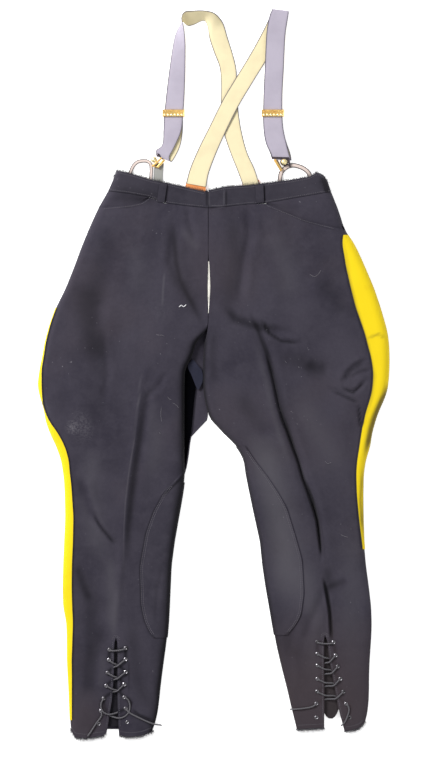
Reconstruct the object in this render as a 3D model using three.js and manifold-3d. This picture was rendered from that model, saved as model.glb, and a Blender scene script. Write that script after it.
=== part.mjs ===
// Riding breeches with braces, laid flat on a table: +X is the wearer's left, +Y the waist, +Z up.
import * as THREE from "three";
import Module from "manifold-3d";

// ---- driving dimensions (mm) ----
const WALL = 1.8; // cloth of the legs and bands
const SEAM = 0.35; // clear gap between a piece and what lies on it
const EDGE = 5.6; // height of the side seam above the table
const CURL = 14; // width of the rounded fold along an edge
const STRIPE_WALL = 0.9;
const PATCH_WALL = 1.1;
const TONGUE_DROP = 5.8;
const WEB = 1.5; // brace webbing
const LACE = 2.2;
const HOLE = 2.3; // radius of a lace hole in the cloth
const CENTRE = -9; // fly and seat seam
const BAND_GAP = 0.4;

// ---- outlines, a row per level: y, outer x, stripe width, crease x, inner x, loft, inner roll ----
const COL = { y: 0, xo: 1, ws: 2, xc: 3, xi: 4, h: 5, ki: 6 };
const RIGHT = {
  name: "right",
  dir: -1,
  rows: [
    [385, -183, 3, -70, -9.6, 16, 0],
    [345, -200, 3, -76, -9.6, 16, 0],
    [314, -217, 3, -80, -9.6, 16.5, 0],
    [280, -233, 3, -85, -9.6, 17, 0],
    [240, -250, 3, -90, -9.6, 18, 0],
    [200, -265, 3, -97, -9.6, 19, 0],
    [160, -281, 3, -103, -9.6, 20, 0],
    [124, -299, 4, -108, -9.6, 20, 0],
    [90, -311, 5, -113, -9.6, 20, 0],
    [78, -314, 5, -116, -14, 20, 0.5],
    [60, -319, 6, -118, -32, 20, 1],
    [30, -324, 8, -122, -40, 20, 1],
    [8, -329, 9, -126, -53, 20, 1],
    [-25, -333, 11, -132, -54.5, 20, 1],
    [-50, -327, 6, -137, -54.5, 20, 1],
    [-68, -321, 4, -141, -54.5, 20, 1],
    [-90, -318, 9, -144, -54.5, 20, 1],
    [-115, -309, 15, -147, -54.5, 20, 1],
    [-140, -297, 16, -151, -54.5, 19, 1],
    [-165, -288, 14, -156, -54.2, 19, 1],
    [-190, -284, 12, -160, -53.5, 18, 1],
    [-208, -282, 12.5, -162, -55, 18, 1],
    [-230, -281, 13, -165, -58, 17, 1],
    [-275, -280, 15, -168, -66, 17, 1],
    [-320, -282, 16, -170, -74, 16, 1],
    [-365, -284, 16, -174, -80, 15, 1],
    [-410, -285, 16.5, -180, -82, 14, 1],
    [-445, -284, 16.5, -183, -83.5, 13.5, 1],
    [-475, -278, 12, -185, -85, 13, 1],
    [-503, -277, 10, -184.5, -87.5, 12.5, 1],
    [-520, -277, 9.5, -184.6, -89.5, 12.5, 1],
    [-545, -277, 8.5, -184.8, -93, 12.5, 1],
    [-575, -275.5, 7.5, -185.2, -97, 12.5, 1],
    [-600, -274, 6, -186, -100, 12.5, 1],
    [-625, -273, 5, -187, -102.5, 12, 1],
    [-650, -272, 4, -188.6, -106, 12, 1],
    [-674, -271, 3, -190, -112.5, 11.5, 1],
    [-694, -266, 3, -191, -122, 11, 1],
  ],
  seam: [[-217, 349], [-200, 346], [-160, 341], [-120, 334], [-92, 323], [-45, 317], [-9, 313.5]],
  top: [[-190, 372], [-183, 385], [-158, 379], [-115, 366], [-88, 361], [-16, 344], [-9, 347]],
  pocket: [
    [-222, 313], [-181, 317], [-155, 319.5], [-134, 324], [-120, 333.5], [-92, 322.6], [-45, 316.6],
    [-9, 313],
  ],
  pocketStart: -120,
  hem: [
    [-272, -676], [-262, -692], [-243, -694], [-208, -689], [-203, -684], [-179, -688], [-160, -691],
    [-137, -689], [-113, -680],
  ],
  slitTop: -503,
  slit: [
    [-503, -184.5, -184.5],
    [-512, -187.5, -182],
    [-525, -188.3, -181.4],
    [-575, -189, -181.4],
    [-600, -190.5, -181.4],
    [-625, -193, -181.2],
    [-650, -197, -180.5],
    [-694, -203.5, -178.5],
  ],
  patchRows: [-208, -503],
  patch: [
    [-208, -75], [-225, -92], [-263, -113], [-305, -128], [-368, -139], [-440, -137], [-470, -131],
    [-493, -121], [-503, -111],
  ],
  stripeRows: [124, -660],
  tongue: [[-509, 10], [-530, 14], [-600, 17], [-650, 20], [-664, 19], [-672, 15]],
  tongueMid: [[-509, -184.5], [-600, -186], [-672, -191]],
  eyeletsA: [
    [-197, -526], [-198, -545.5], [-200.5, -570], [-203, -594.5], [-208, -619], [-213, -642.6],
    [-217, -667],
  ],
  eyeletsB: [
    [-166, -523], [-166.5, -544.5], [-166, -568.5], [-168.7, -592], [-168.7, -616.6], [-166, -638],
    [-163, -663.7],
  ],
  backInner: [
    [-80, -9.6, 0], [-89, -10.5, 0.4], [-100, -21, 1], [-121, -41, 1], [-137, -44, 1], [-165, -48, 1],
    [-190, -52.5, 1],
  ],
};
const LEFT = {
  name: "left",
  dir: 1,
  rows: [
    [378, 214, 3, 44, -8.4, 16, 0],
    [344, 225, 3, 52, -8.4, 16, 0],
    [308, 239, 3, 62, -8.4, 16.5, 0],
    [272, 250, 5, 69, -8.4, 17, 0],
    [247, 267, 22, 73, -8.4, 17.5, 0],
    [225, 278, 29, 76, -8.0, 18, 0],
    [200, 289, 36, 79, -6.2, 18, 0],
    [160, 306, 44, 83, -5.6, 19, 0],
    [124, 318, 47, 83, -7.6, 20, 0],
    [90, 328, 45, 84, -8.4, 20, 0],
    [72, 332, 43, 88, -12, 20, 0.5],
    [55, 334, 41, 94, -17, 20, 1],
    [30, 335, 35, 103, -18.5, 20, 1],
    [0, 333, 29, 114, -19, 20, 1],
    [-30, 327, 24.5, 121, -18.5, 20, 1],
    [-50, 320, 22, 125, -16, 20, 1],
    [-70, 311, 20, 130, -11.5, 20, 1],
    [-88, 307, 20, 137, -5, 20, 1],
    [-115, 301.5, 20, 145, 20, 19, 1],
    [-140, 298, 20, 155, 46, 19, 1],
    [-165, 290, 16, 164, 60, 18, 1],
    [-190, 286, 14, 171, 63, 18, 1],
    [-230, 285, 12, 182, 71, 17, 1],
    [-275, 285.5, 8.5, 194, 80.5, 16, 1],
    [-320, 287, 4.5, 203, 90.6, 15, 1],
    [-365, 291, 3, 208, 95, 14, 1],
    [-410, 297, 3, 211, 101.7, 13, 1],
    [-445, 301, 3, 212.5, 108, 12.5, 1],
    [-475, 302, 3, 212.5, 113, 12.5, 1],
    [-498, 301.5, 3, 212.5, 117, 12.5, 1],
    [-520, 300, 3, 214, 121, 12.5, 1],
    [-550, 298, 3, 216.5, 128, 12.5, 1],
    [-580, 297, 3, 219.5, 135.5, 12.5, 1],
    [-605, 297, 3, 222, 142, 12.5, 1],
    [-628, 296, 3, 224, 147, 12, 1],
    [-652, 293, 3, 227, 153, 11.5, 1],
    [-680, 284, 3, 231, 160, 11, 1],
  ],
  seam: [[-9, 314], [24, 316], [68, 321], [96, 322], [158, 333], [225, 344.5], [242, 347]],
  top: [
    [-9, 347], [24, 354], [72, 357], [96, 360], [145, 366], [184, 373], [196, 381], [208, 377],
    [218, 366],
  ],
  pocket: [[-9, 313.5], [24, 315.6], [68, 320.6], [100, 321.6], [146, 303], [175, 291], [252, 271]],
  pocketStart: 100,
  hem: [[159, -677], [211.5, -674], [250, -680], [266, -678], [278, -674], [290, -662]],
  slitTop: -498,
  slit: [
    [-498, 212.5, 212.5],
    [-507, 211, 216.5],
    [-520, 211, 218.5],
    [-550, 211, 222],
    [-580, 211.3, 228],
    [-605, 211.5, 232.5],
    [-628, 211.5, 236.5],
    [-652, 211.5, 242],
    [-680, 211.5, 250.5],
  ],
  patchRows: [-140, -498],
  patch: [
    [-140, 62], [-169, 82], [-196, 103], [-228, 124.6], [-257, 140.6], [-317, 159], [-355, 169.5],
    [-419, 173], [-462, 167], [-485, 153], [-498, 138],
  ],
  stripeRows: [262, -335],
  tongue: [[-505, 10], [-530, 17], [-580, 20], [-628, 16], [-646, 12], [-657, 6]],
  tongueMid: [[-505, 213], [-580, 219], [-628, 224], [-657, 224]],
  eyeletsA: [
    [198, -511], [198.3, -534], [198.9, -556], [198.3, -581.4], [197.8, -605.5], [196.5, -628.5],
    [196.5, -655],
  ],
  eyeletsB: [[229, -512], [233, -537], [237.5, -558], [242, -581.4], [248, -606], [253, -629], [259.5, -655]],
  backInner: [[-80, -8.4, 0], [-88, -5, 0.5], [-115, 20, 1], [-140, 46, 1], [-165, 60, 1], [-190, 63, 1]],
};
// folds: side, depth, half width, ridge beside it (signed to the left of the line), points
const FOLDS = [
  ["right", 4, 9, 1.5, [[-74, 279], [-79, 211], [-11, 119]]],
  ["right", 2.5, 12, 1, [[-217, 139], [-217, 82]]],
  ["right", 5, 10, 2.5, [
    [-126, 2], [-142, -57], [-145, -110], [-156, -190], [-166, -244], [-172, -317], [-182, -419],
    [-186, -470],
  ]],
  ["right", 3, 8, 1, [[-225, -271], [-188, -324]]],
  ["right", 3, 8, 1, [[-251, -376], [-233, -434]]],
  ["left", 4, 9, 1.5, [[67, 315], [72, 236], [87, 162]]],
  ["left", 4, 9, 1.5, [[92, 106], [130, 65], [193, 53]]],
  ["left", 6, 10, 3, [[79, 80], [103, 28], [119, -17], [127, -79], [141, -111], [157, -150], [173, -215]]],
  ["left", 4, 9, 2, [[189, -239], [199, -284], [207, -355]]],
  ["left", 4, 7, -2.5, [[215, -405], [222, -450], [222, -480]]],
  ["left", 2.5, 6, 1, [[229, -28], [274, -52]]],
  ["left", 2.5, 6, 1, [[253, -2], [290, 2]]],
  ["left", 2.5, 14, 0, [[49, -44], [108, -118]]],
];

// ---- small helpers ----
const lerp = (a, b, s) => a + (b - a) * s;
const quarter = (s) => (s >= 1 ? 1 : Math.sqrt(Math.max(0, 1 - (1 - s) * (1 - s))));

// Value of column c at height t in a table whose first column rises or falls steadily.
function at(table, t, c = 1) {
  const falling = table[0][0] > table[table.length - 1][0];
  let i = 1;
  while (i < table.length - 1 && (falling ? table[i][0] > t : table[i][0] < t)) i++;
  const [p, q] = [table[i - 1], table[i]];
  const s = Math.min(1.5, Math.max(-1.5, (t - p[0]) / (q[0] - p[0])));
  return lerp(p[c], q[c], Math.min(1, Math.max(0, s)));
}

// Distance to a line of points, signed to its left, with how far past its ends.
function toLine(pts, x, y) {
  let best = [1e9, 0];
  for (let i = 1; i < pts.length; i++) {
    const [ax, ay] = pts[i - 1];
    const [bx, by] = pts[i];
    const [dx, dy] = [bx - ax, by - ay];
    const s = Math.min(1, Math.max(0, ((x - ax) * dx + (y - ay) * dy) / (dx * dx + dy * dy)));
    const [ex, ey] = [x - ax - s * dx, y - ay - s * dy];
    const d = Math.hypot(ex, ey);
    if (d < best[0]) best = [d, Math.sign(dx * ey - dy * ex)];
  }
  return best;
}

// ---- the height of the upper cloth ----
function foldHeight(leg, x, y) {
  let z = 0;
  for (const [side, depth, width, ridge, pts] of FOLDS) {
    if (side !== leg.name) continue;
    const [d, sign] = toLine(pts, x, y);
    z -= depth * Math.exp(-((d / width) ** 2));
    const share = sign * Math.sign(ridge) > 0 ? 1 : 0.3;
    z += Math.abs(ridge) * Math.exp(-(((d - 1.8 * width) / width) ** 2)) * share;
  }
  return z;
}

function upper(leg, x, y) {
  const dO = Math.max(0, (at(leg.rows, y, COL.xo) - x) * leg.dir);
  const dI = Math.max(0, (x - at(leg.rows, y, COL.xi)) * leg.dir);
  const h = at(leg.rows, y, COL.h);
  const ki = at(leg.rows, y, COL.ki);
  const round = quarter(dO / CURL) * (1 - ki * (1 - quarter(dI / CURL)));
  const soft = Math.min(1, dO / (2 * CURL)) * Math.min(1, 1 - ki + dI / (2 * CURL));
  return EDGE + (h - EDGE) * round + foldHeight(leg, x, y) * soft;
}

// A point of the upper cloth with its outward direction; edge names a rolled edge.
function skin(leg, x, y, edge) {
  const p = new THREE.Vector3(x, y, upper(leg, x, y));
  if (edge === "outer") return { p, n: new THREE.Vector3(leg.dir, 0, 0) };
  if (edge === "inner") return { p, n: new THREE.Vector3(-leg.dir, 0, 0) };
  const e = 0.8;
  const gx = (upper(leg, x + e, y) - upper(leg, x - e, y)) / (2 * e);
  const gy = (upper(leg, x, y + 4) - upper(leg, x, y - 4)) / 8;
  return { p, n: new THREE.Vector3(-gx, -gy, 1).normalize() };
}

const moved = (s, d) => s.p.clone().addScaledVector(s.n, d);

// ---- closed walls ----
// Faces between two layers of the same points, with a rim along every open edge.
function wall(faces, outside, inside) {
  const n = outside.length;
  const index = [];
  const used = new Map();
  for (const [a, b, c] of faces) {
    index.push(a, b, c, a + n, c + n, b + n);
    for (const [p, q] of [[a, b], [b, c], [c, a]]) used.set(p + "," + q, [p, q]);
  }
  for (const [p, q] of used.values()) {
    if (used.has(q + "," + p)) continue;
    index.push(p, p + n, q, q, p + n, q + n);
  }
  const pos = [];
  for (const v of [...outside, ...inside]) pos.push(v.x, v.y, v.z);
  const g = new THREE.BufferGeometry();
  g.setAttribute("position", new THREE.Float32BufferAttribute(pos, 3));
  g.setIndex(index);
  return g;
}

// Two faces for each cell of a grid of rows and columns; turn makes them face the other way.
function gridFaces(rows, cols, turn) {
  const faces = [];
  for (let r = 0; r < rows - 1; r++) {
    for (let c = 0; c < cols - 1; c++) {
      const a = r * cols + c;
      const cell = [[a, a + 1, a + cols + 1], [a, a + cols + 1, a + cols]];
      for (const f of cell) faces.push(turn ? f : [f[0], f[2], f[1]]);
    }
  }
  return faces;
}

// A wall from a grid of skin points, from distance far to distance near.
function panel(grid, far, near, turn) {
  const flat = grid.flat();
  return wall(
    gridFaces(grid.length, grid[0].length, turn),
    flat.map((s) => moved(s, far)),
    flat.map((s) => moved(s, near)),
  );
}

// ---- columns of a leg: outer edge, stripe, crease, inner edge ----
function columns(leg, yo, yc, yi, slit) {
  const xo = at(leg.rows, yo, COL.xo);
  const ws = at(leg.rows, yo, COL.ws);
  const xi = at(leg.rows, yi, COL.xi);
  let [oc, ic] = [at(leg.rows, yc, COL.xc), at(leg.rows, yc, COL.xc)];
  if (slit) {
    oc = at(leg.slit, yc, leg.dir < 0 ? 1 : 2);
    ic = at(leg.slit, yc, leg.dir < 0 ? 2 : 1);
  }
  const d = leg.dir;
  const near = [0, Math.min(1.3, 0.15 * ws), Math.min(4.5, 0.4 * ws), Math.min(12, 0.7 * ws), ws];
  const outer = near.map((s) => xo - d * s);
  const rest = (xo - d * ws - oc) * d;
  for (const s of [0.12, 0.36, 0.64, 0.88]) outer.push(xo - d * (ws + rest * s));
  outer.push(oc);
  const inner = [ic];
  const room = (ic - xi) * d - 13;
  for (const s of [0.16, 0.55]) inner.push(ic - d * room * s);
  for (const s of [13, 5, 1.3, 0]) inner.push(xi + d * s);
  return { outer, inner };
}

// Levels of the front panel: blended from the pocket and seam line, level by level, to the hem.
function frontLevels(leg) {
  const list = [];
  for (const b of [1, 0.8, 0.6, 0.4, 0.2]) list.push({ base: 200, b, curve: leg.pocket });
  for (const row of leg.rows) {
    if (row[0] <= 200 && row[0] > -660) list.push({ base: row[0], b: 0, curve: leg.hem });
  }
  list.push({ base: -660, b: 0.5, curve: leg.hem });
  list.push({ base: -660, b: 1, curve: leg.hem });
  return list;
}

function frontGrid(leg) {
  const rows = [];
  for (const { base, b, curve } of frontLevels(leg)) {
    const [low, high] = [curve[0][1], curve[curve.length - 1][1]];
    const yo = lerp(base, leg.dir > 0 ? high : low, b);
    const yi = lerp(base, leg.dir > 0 ? low : high, b);
    const yc = lerp(base, at(curve, at(leg.rows, base, COL.xc)), b);
    const slit = base <= leg.slitTop;
    const { outer, inner } = columns(leg, yo, yc, yi, slit);
    const level = (x) => lerp(base, at(curve, x), b);
    const rolled = at(leg.rows, yi, COL.ki) > 0.4;
    const last = inner.length - 1;
    rows.push({
      y: base,
      b,
      slit,
      outer: outer.map((x, i) => skin(leg, x, level(x), i === 0 ? "outer" : "")),
      inner: inner.map((x, i) => skin(leg, x, level(x), i === last && rolled ? "inner" : "")),
    });
  }
  return rows;
}

// The front panel: both halves joined above the slit, apart below it.
function frontPanel(leg, rows) {
  const pts = [];
  const ids = rows.map((row) => {
    const o = row.outer.map((s) => pts.push(s) - 1);
    const joined = !row.slit || row.y === leg.slitTop;
    const i = row.inner.map((s, k) => (joined && k === 0 ? o[o.length - 1] : pts.push(s) - 1));
    return { o, i };
  });
  const faces = [];
  const turn = leg.dir > 0;
  const strip = (p, q) => {
    for (let c = 0; c < p.length - 1; c++) {
      const cell = [[p[c], q[c], q[c + 1]], [p[c], q[c + 1], p[c + 1]]];
      for (const f of cell) faces.push(turn ? [f[0], f[2], f[1]] : f);
    }
  };
  for (let r = 0; r < ids.length - 1; r++) {
    strip(ids[r].o, ids[r + 1].o);
    strip(ids[r].i, ids[r + 1].i);
  }
  return wall(faces, pts.map((s) => s.p), pts.map((s) => moved(s, -WALL)));
}

// ---- the lower cloth, flat on the table ----
function lowerSkin(leg, x, y, xo, xi, ki, edge) {
  const dO = Math.abs(xo - x);
  const dI = Math.abs(x - xi);
  const z = (EDGE - 0.7) * (1 - quarter(dO / 9) * (1 - ki * (1 - quarter(dI / 9))));
  const p = new THREE.Vector3(x, y, z);
  if (edge === "outer") return { p, n: new THREE.Vector3(leg.dir, 0, 0) };
  if (edge === "inner" && ki > 0.4) return { p, n: new THREE.Vector3(-leg.dir, 0, 0) };
  const slope = (s) => ((EDGE - 0.7) * (1 - s / 9)) / (9 * Math.max(0.15, quarter(s / 9)));
  const rise = (s) => (s < 9 ? slope(s) : 0);
  const gx = leg.dir * (rise(dO) - ki * rise(dI));
  return { p, n: new THREE.Vector3(gx, 0, -1).normalize() };
}

function lowerRow(leg, yo, yi, level) {
  const xo = at(leg.rows, yo, COL.xo);
  const free = yi > -190;
  const xi = free ? at(leg.backInner, yi, 1) : at(leg.rows, yi, COL.xi);
  const ki = free ? at(leg.backInner, yi, 2) : 1;
  const d = leg.dir;
  const xs = [xo, xo - d * 1.0, xo - d * 3.5, xo - d * 9];
  const span = (xo - xi) * d - 18;
  xs.push(xo - d * (9 + span * 0.5));
  xs.push(xi + d * 9, xi + d * 3.5, xi + d * 1.0, xi);
  const edges = { 0: "outer", [xs.length - 1]: "inner" };
  return xs.map((x, i) => lowerSkin(leg, x, level(x), xo, xi, ki, edges[i]));
}

const BACK_LEVELS = [
  200, 140, 85, 30, -25, -50, -68, -80, -89, -100, -121, -140, -165, -190, -240, -300, -365, -445, -480, -530,
  -600, -655,
];

function backPanel(leg) {
  const rows = [];
  const drop = 2.6;
  const seamEnds = leg.dir > 0 ? [leg.seam[5][1], leg.seam[0][1]] : [leg.seam[1][1], leg.seam[6][1]];
  for (const b of [1, 0.4]) {
    const level = (x) => lerp(240, at(leg.seam, x) - drop, b);
    rows.push(lowerRow(leg, lerp(240, seamEnds[0] - drop, b), lerp(240, seamEnds[1] - drop, b), level));
  }
  for (const y of BACK_LEVELS) rows.push(lowerRow(leg, y, y, () => y));
  const ends = [leg.hem[0][1], leg.hem[leg.hem.length - 1][1]];
  if (leg.dir > 0) ends.reverse();
  rows.push(lowerRow(leg, ends[0], ends[1], (x) => backHem(leg, x)));
  return panel(rows, 0, -WALL, leg.dir < 0);
}

// The hem of the lower cloth runs straight under the vent, short of the upper one.
function backHem(leg, x) {
  return Math.max(at(leg.hem, x), -672) + 2;
}

// ---- bands and facings ----
// Front waistband of one side, from the centre to the side edge.
function waistbandFront(leg) {
  const rows = [];
  for (const s of [0, 0.35, 0.7, 1]) {
    const [topEnd, lowEnd] = leg.dir > 0 ? [366, leg.seam[5][1]] : [372, leg.seam[1][1]];
    const edgeY = lerp(topEnd, lowEnd, s) + (s === 1 ? BAND_GAP : 0);
    const xo = at(leg.rows, edgeY, COL.xo);
    const xi = CENTRE + leg.dir * 0.4;
    const len = (xo - xi) * leg.dir;
    const ds = [0, 1.3, 4.5, 12];
    for (const f of [0.14, 0.22, 0.34, 0.46, 0.58, 0.7, 0.82, 0.92, 1]) ds.push(len * f);
    rows.push(
      ds.map((d, i) => {
        const x = xo - leg.dir * d;
        const y = lerp(at(leg.top, x), at(leg.seam, x) + BAND_GAP, s);
        return skin(leg, x, i === 0 ? edgeY : y, i === 0 ? "outer" : "");
      }),
    );
  }
  return panel(rows, 0, -WALL, leg.dir > 0);
}

function waistbandBack() {
  const rows = [];
  for (const s of [0, 0.5, 1]) {
    const row = [];
    for (const leg of [RIGHT, LEFT]) {
      const end = leg.dir > 0 ? leg.seam[5][1] : leg.seam[1][1];
      const edgeY = lerp(end + 22, end + BAND_GAP, s);
      const xo = at(leg.rows, edgeY, COL.xo);
      const list = [0, 1, 3.5, 9, 40, 80, 120, 160, 195].map((d, i) => {
        const x = xo - leg.dir * d;
        const y = i === 0 ? edgeY : lerp(at(leg.top, x) - 3, at(leg.seam, x) + BAND_GAP, s);
        return lowerSkin(leg, x, y, xo, 0, 0, i === 0 ? "outer" : "");
      });
      row.push(...(leg.dir < 0 ? list : list.reverse()));
    }
    rows.push(row);
  }
  return panel(rows, 0, -WALL, true);
}

// Hip facing: joins the waistband, then slips under the front panel along the pocket mouth.
function pocketFacing(leg) {
  const rows = [];
  const tuck = WALL + 1.0;
  for (const s of [0, 0.45, 0.8, 1]) {
    const row = [];
    for (const u of [0, 0.02, 0.06, 0.13, 0.3, 0.5, 0.7, 0.88, 1]) {
      const yEdge = leg.dir > 0 ? leg.seam[5][1] : leg.seam[1][1];
      const yLow = leg.dir > 0 ? leg.pocket[6][1] : leg.pocket[0][1];
      const yAt = lerp(yEdge, yLow - 8, s);
      const xo = at(leg.rows, yAt, COL.xo) - (s >= 0.8 ? leg.dir * 3 : 0);
      const x = lerp(xo, leg.pocketStart + leg.dir * 6, u);
      const top = at(leg.seam, x) - BAND_GAP;
      const low = at(leg.pocket, x);
      let y = s === 1 ? low - 8 : lerp(top, low + 1, s / 0.8);
      if (u === 0) y = yAt - (s === 0 ? BAND_GAP : 0);
      const p = skin(leg, x, y, u === 0 && s < 0.8 ? "outer" : "");
      let sink = s > 0.4 ? tuck * 0.6 : 0.1;
      if (s >= 0.8) sink = tuck + (u < 0.2 ? 1.2 : 0);
      row.push({ p: moved(p, -sink), n: p.n });
    }
    rows.push(row);
  }
  return panel(rows, 0, -1.2, leg.dir > 0);
}

// Facing that shows pale in the fly where the fronts stand apart.
function flyFacing() {
  const rows = [];
  for (const y of [292, 260, 225, 190, 155, 122, 108]) {
    rows.push([-24, -12, -9, -6, 4].map((x) => skin(x < CENTRE ? RIGHT : LEFT, x === -9 ? -9.6 : x, y, "")));
  }
  return panel(rows, -WALL - 3.2, -WALL - 4.1, false);
}

// ---- pieces laid on the panels ----
function stripe(leg, rows) {
  const [hi, lo] = leg.stripeRows;
  const part = rows.filter((row) => row.outer[0].p.y <= hi && row.outer[0].p.y >= lo);
  return panel(part.map((row) => row.outer.slice(0, 5)), SEAM + STRIPE_WALL, SEAM, leg.dir > 0);
}

function kneePatch(leg, rows) {
  const part = rows
    .filter((row) => row.b === 0 && row.y <= leg.patchRows[0] && row.y >= leg.patchRows[1])
    .map((row) => {
      const tail = row.inner.slice(-4);
      const x1 = tail[0].p.x;
      const xb = at(leg.patch, row.y);
      const start = (xb - x1) * leg.dir > 3 ? xb : x1 + leg.dir * 3;
      const head = [0, 0.33, 0.67].map((s) => skin(leg, lerp(start, x1, s), row.y, ""));
      return [...head, ...tail];
    });
  return panel(part, 0.5 + PATCH_WALL, 0.5, leg.dir > 0);
}

function tongue(leg) {
  const rows = leg.tongue.map(([y, half]) => {
    const mid = at(leg.tongueMid, y);
    return [-1, -0.5, 0, 0.5, 1].map((u) => skin(leg, mid + u * half, y, ""));
  });
  return panel(rows, -TONGUE_DROP, -TONGUE_DROP - 1.2, false);
}

function beltLoop(leg, top, bottom, width) {
  const rows = [];
  for (const s of [0, 0.12, 0.5, 0.88, 1]) {
    const lift = s === 0 || s === 1 ? 0.5 : 2.2;
    const row = [-0.5, 0.5].map((u) => {
      const [x, y] = [lerp(top[0], bottom[0], s), lerp(top[1], bottom[1], s)];
      const k = skin(leg, x + u * width, y + u * 2 * leg.dir, "");
      return { p: k.p.clone().setZ(k.p.z + lift), n: new THREE.Vector3(0, 0, 1) };
    });
    rows.push(row);
  }
  return panel(rows, 1.3, 0, false);
}

// ---- ribbons and cords ----
// A ribbon between two edges; each row is left x, y, z and right x, y, z.
function ribbon(rows, thick, fine = 2) {
  const edge = (k) => rows.map((r) => new THREE.Vector3(r[k], r[k + 1], r[k + 2]));
  const curve = (k) => new THREE.CatmullRomCurve3(edge(k), false, "centripetal");
  const [a, b] = [curve(0), curve(3)];
  const n = (rows.length - 1) * fine;
  const grid = [];
  for (let i = 0; i <= n; i++) {
    const [p, q] = [a.getPoint(i / n), b.getPoint(i / n)];
    const along = a.getTangent(i / n).add(b.getTangent(i / n)).normalize();
    const up = new THREE.Vector3().crossVectors(q.clone().sub(p), along).normalize();
    grid.push([{ p, n: up }, { p: q, n: up }]);
  }
  return panel(grid, thick / 2, -thick / 2, true);
}

function bandAlong(path, width, thick, fine = 2) {
  const rows = path.map(([x, y, z], i) => {
    const [p, q] = [path[Math.max(0, i - 1)], path[Math.min(path.length - 1, i + 1)]];
    const d = new THREE.Vector3(q[0] - p[0], q[1] - p[1], 0).normalize();
    const [sx, sy] = [(-d.y * width) / 2, (d.x * width) / 2];
    return [x + sx, y + sy, z, x - sx, y - sy, z];
  });
  return ribbon(rows, thick, fine);
}

// A round cord along control points, closed at both ends.
function cord(points, radius, step = 6, sides = 5) {
  const curve = new THREE.CatmullRomCurve3(points, false, "centripetal");
  const stops = [];
  for (let i = 0; i < points.length - 1; i++) {
    const k = Math.max(1, Math.round(points[i].distanceTo(points[i + 1]) / step));
    for (let j = 0; j < k; j++) stops.push((i + j / k) / (points.length - 1));
  }
  stops.push(1);
  const n = stops.length - 1;
  const rings = [];
  let side = new THREE.Vector3(1, 0, 0);
  for (const t of stops) {
    const c = curve.getPoint(t);
    const along = curve.getTangent(t);
    side = side.addScaledVector(along, -side.dot(along)).normalize();
    const up = new THREE.Vector3().crossVectors(along, side);
    const ring = [];
    for (let k = 0; k < sides; k++) {
      const a = (2 * Math.PI * k) / sides;
      const v = c.clone().addScaledVector(side, radius * Math.cos(a));
      ring.push(v.addScaledVector(up, radius * Math.sin(a)));
    }
    rings.push(ring);
  }
  const pos = [];
  for (const v of rings.flat()) pos.push(v.x, v.y, v.z);
  const index = [];
  for (let i = 0; i < n; i++) {
    for (let k = 0; k < sides; k++) {
      const [a, b] = [i * sides + k, i * sides + ((k + 1) % sides)];
      index.push(a, b, b + sides, a, b + sides, a + sides);
    }
  }
  for (let k = 1; k < sides - 1; k++) {
    index.push(0, k + 1, k);
    const e = n * sides;
    index.push(e, e + k, e + k + 1);
  }
  const g = new THREE.BufferGeometry();
  g.setAttribute("position", new THREE.Float32BufferAttribute(pos, 3));
  g.setIndex(index);
  return g;
}

// ---- lacing ----
const V = (x, y, z) => new THREE.Vector3(x, y, z);

// One half of a lace: from the bar down its own side, then from side to side to the last pair.
function laceHalf(leg, first, loops, tails) {
  const z = (x, y) => upper(leg, x, y);
  const lift = LACE / 2 + 0.5;
  const under = -WALL - LACE / 2 - 0.5;
  const pts = [];
  const eye = (side, i) => (side === "A" ? leg.eyeletsA : leg.eyeletsB)[i];
  const inward = (side) => (side === "A" ? 1 : -1);
  const up = ([x, y], side, down, to = [x + inward(side) * 1.8, y - 1.4]) => {
    const h = z(x, y);
    const over = V(lerp(x, to[0], 0.08), lerp(y, to[1], 0.08), h + 1.6);
    const way = [V(x, y, h + under), V(x, y, h - 0.4), over, V(to[0], to[1], h + 3.4)];
    return down ? way.reverse() : way;
  };
  let side = first;
  pts.push(...up(eye(side, 0), side, true));
  const [x0, y0] = eye(side, 0);
  const [x1, y1] = eye(side, 1);
  pts.push(V((x0 + x1) / 2, (y0 + y1) / 2, z(x0, (y0 + y1) / 2) + under - 0.1));
  for (let i = 1; i < 6; i++) {
    const e = eye(side, i);
    if (i === 5) {
      const go = tails[first][0];
      const far = Math.hypot(go[0] - e[0], go[1] - e[1]);
      pts.push(...up(e, side, false, [lerp(e[0], go[0], 3 / far), lerp(e[1], go[1], 3 / far)]));
      break;
    }
    pts.push(...up(e, side, false));
    const other = side === "A" ? "B" : "A";
    const next = eye(other, i + 1);
    const s = inward(side);
    const loop = loops && loops[side];
    const dip = side === "A" ? -7 : -12.5;
    if (i === 4 && loop) {
      for (const [x, y, more = 0] of loop.top) pts.push(V(x, y, z(x, y) + lift + more));
      for (const [x, y] of loop.under) pts.push(V(x, y, z(x, y) + under));
    } else {
      const y = e[1] + dip;
      const near = at(leg.slit, y, side === "A" ? 1 : 2);
      const far = at(leg.slit, y - 2, side === "A" ? 2 : 1);
      pts.push(V(lerp(e[0], near, 0.55), e[1] + dip * 0.5, z(near, y) + lift + 0.3));
      pts.push(V(near + s * 0.2, y, z(near, y) + lift + 0.2));
      pts.push(V(far - s * 0.2, y - 2, z(near, y) + under - 0.1));
      pts.push(V(lerp(far, next[0], 0.5), lerp(y - 2, next[1], 0.45), z(near, y) + under - 0.1));
    }
    side = other;
  }
  return pts;
}

function lace(leg, tails, loops, sag) {
  const z = (x, y) => upper(leg, x, y);
  const a = laceHalf(leg, "A", loops, tails);
  const b = laceHalf(leg, "B", loops, tails);
  const [p, q] = [leg.eyeletsA[0], leg.eyeletsB[0]];
  const mid = V((p[0] + q[0]) / 2, (p[1] + q[1]) / 2 - sag, z(p[0], p[1]) + 2.6);
  const tail = (list) => list.map(([x, y, dz, abs]) => V(x, y, abs ? dz : z(x, y) + dz));
  return [...tail(tails.A).reverse(), ...a.reverse(), mid, ...b, ...tail(tails.B)];
}

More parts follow.
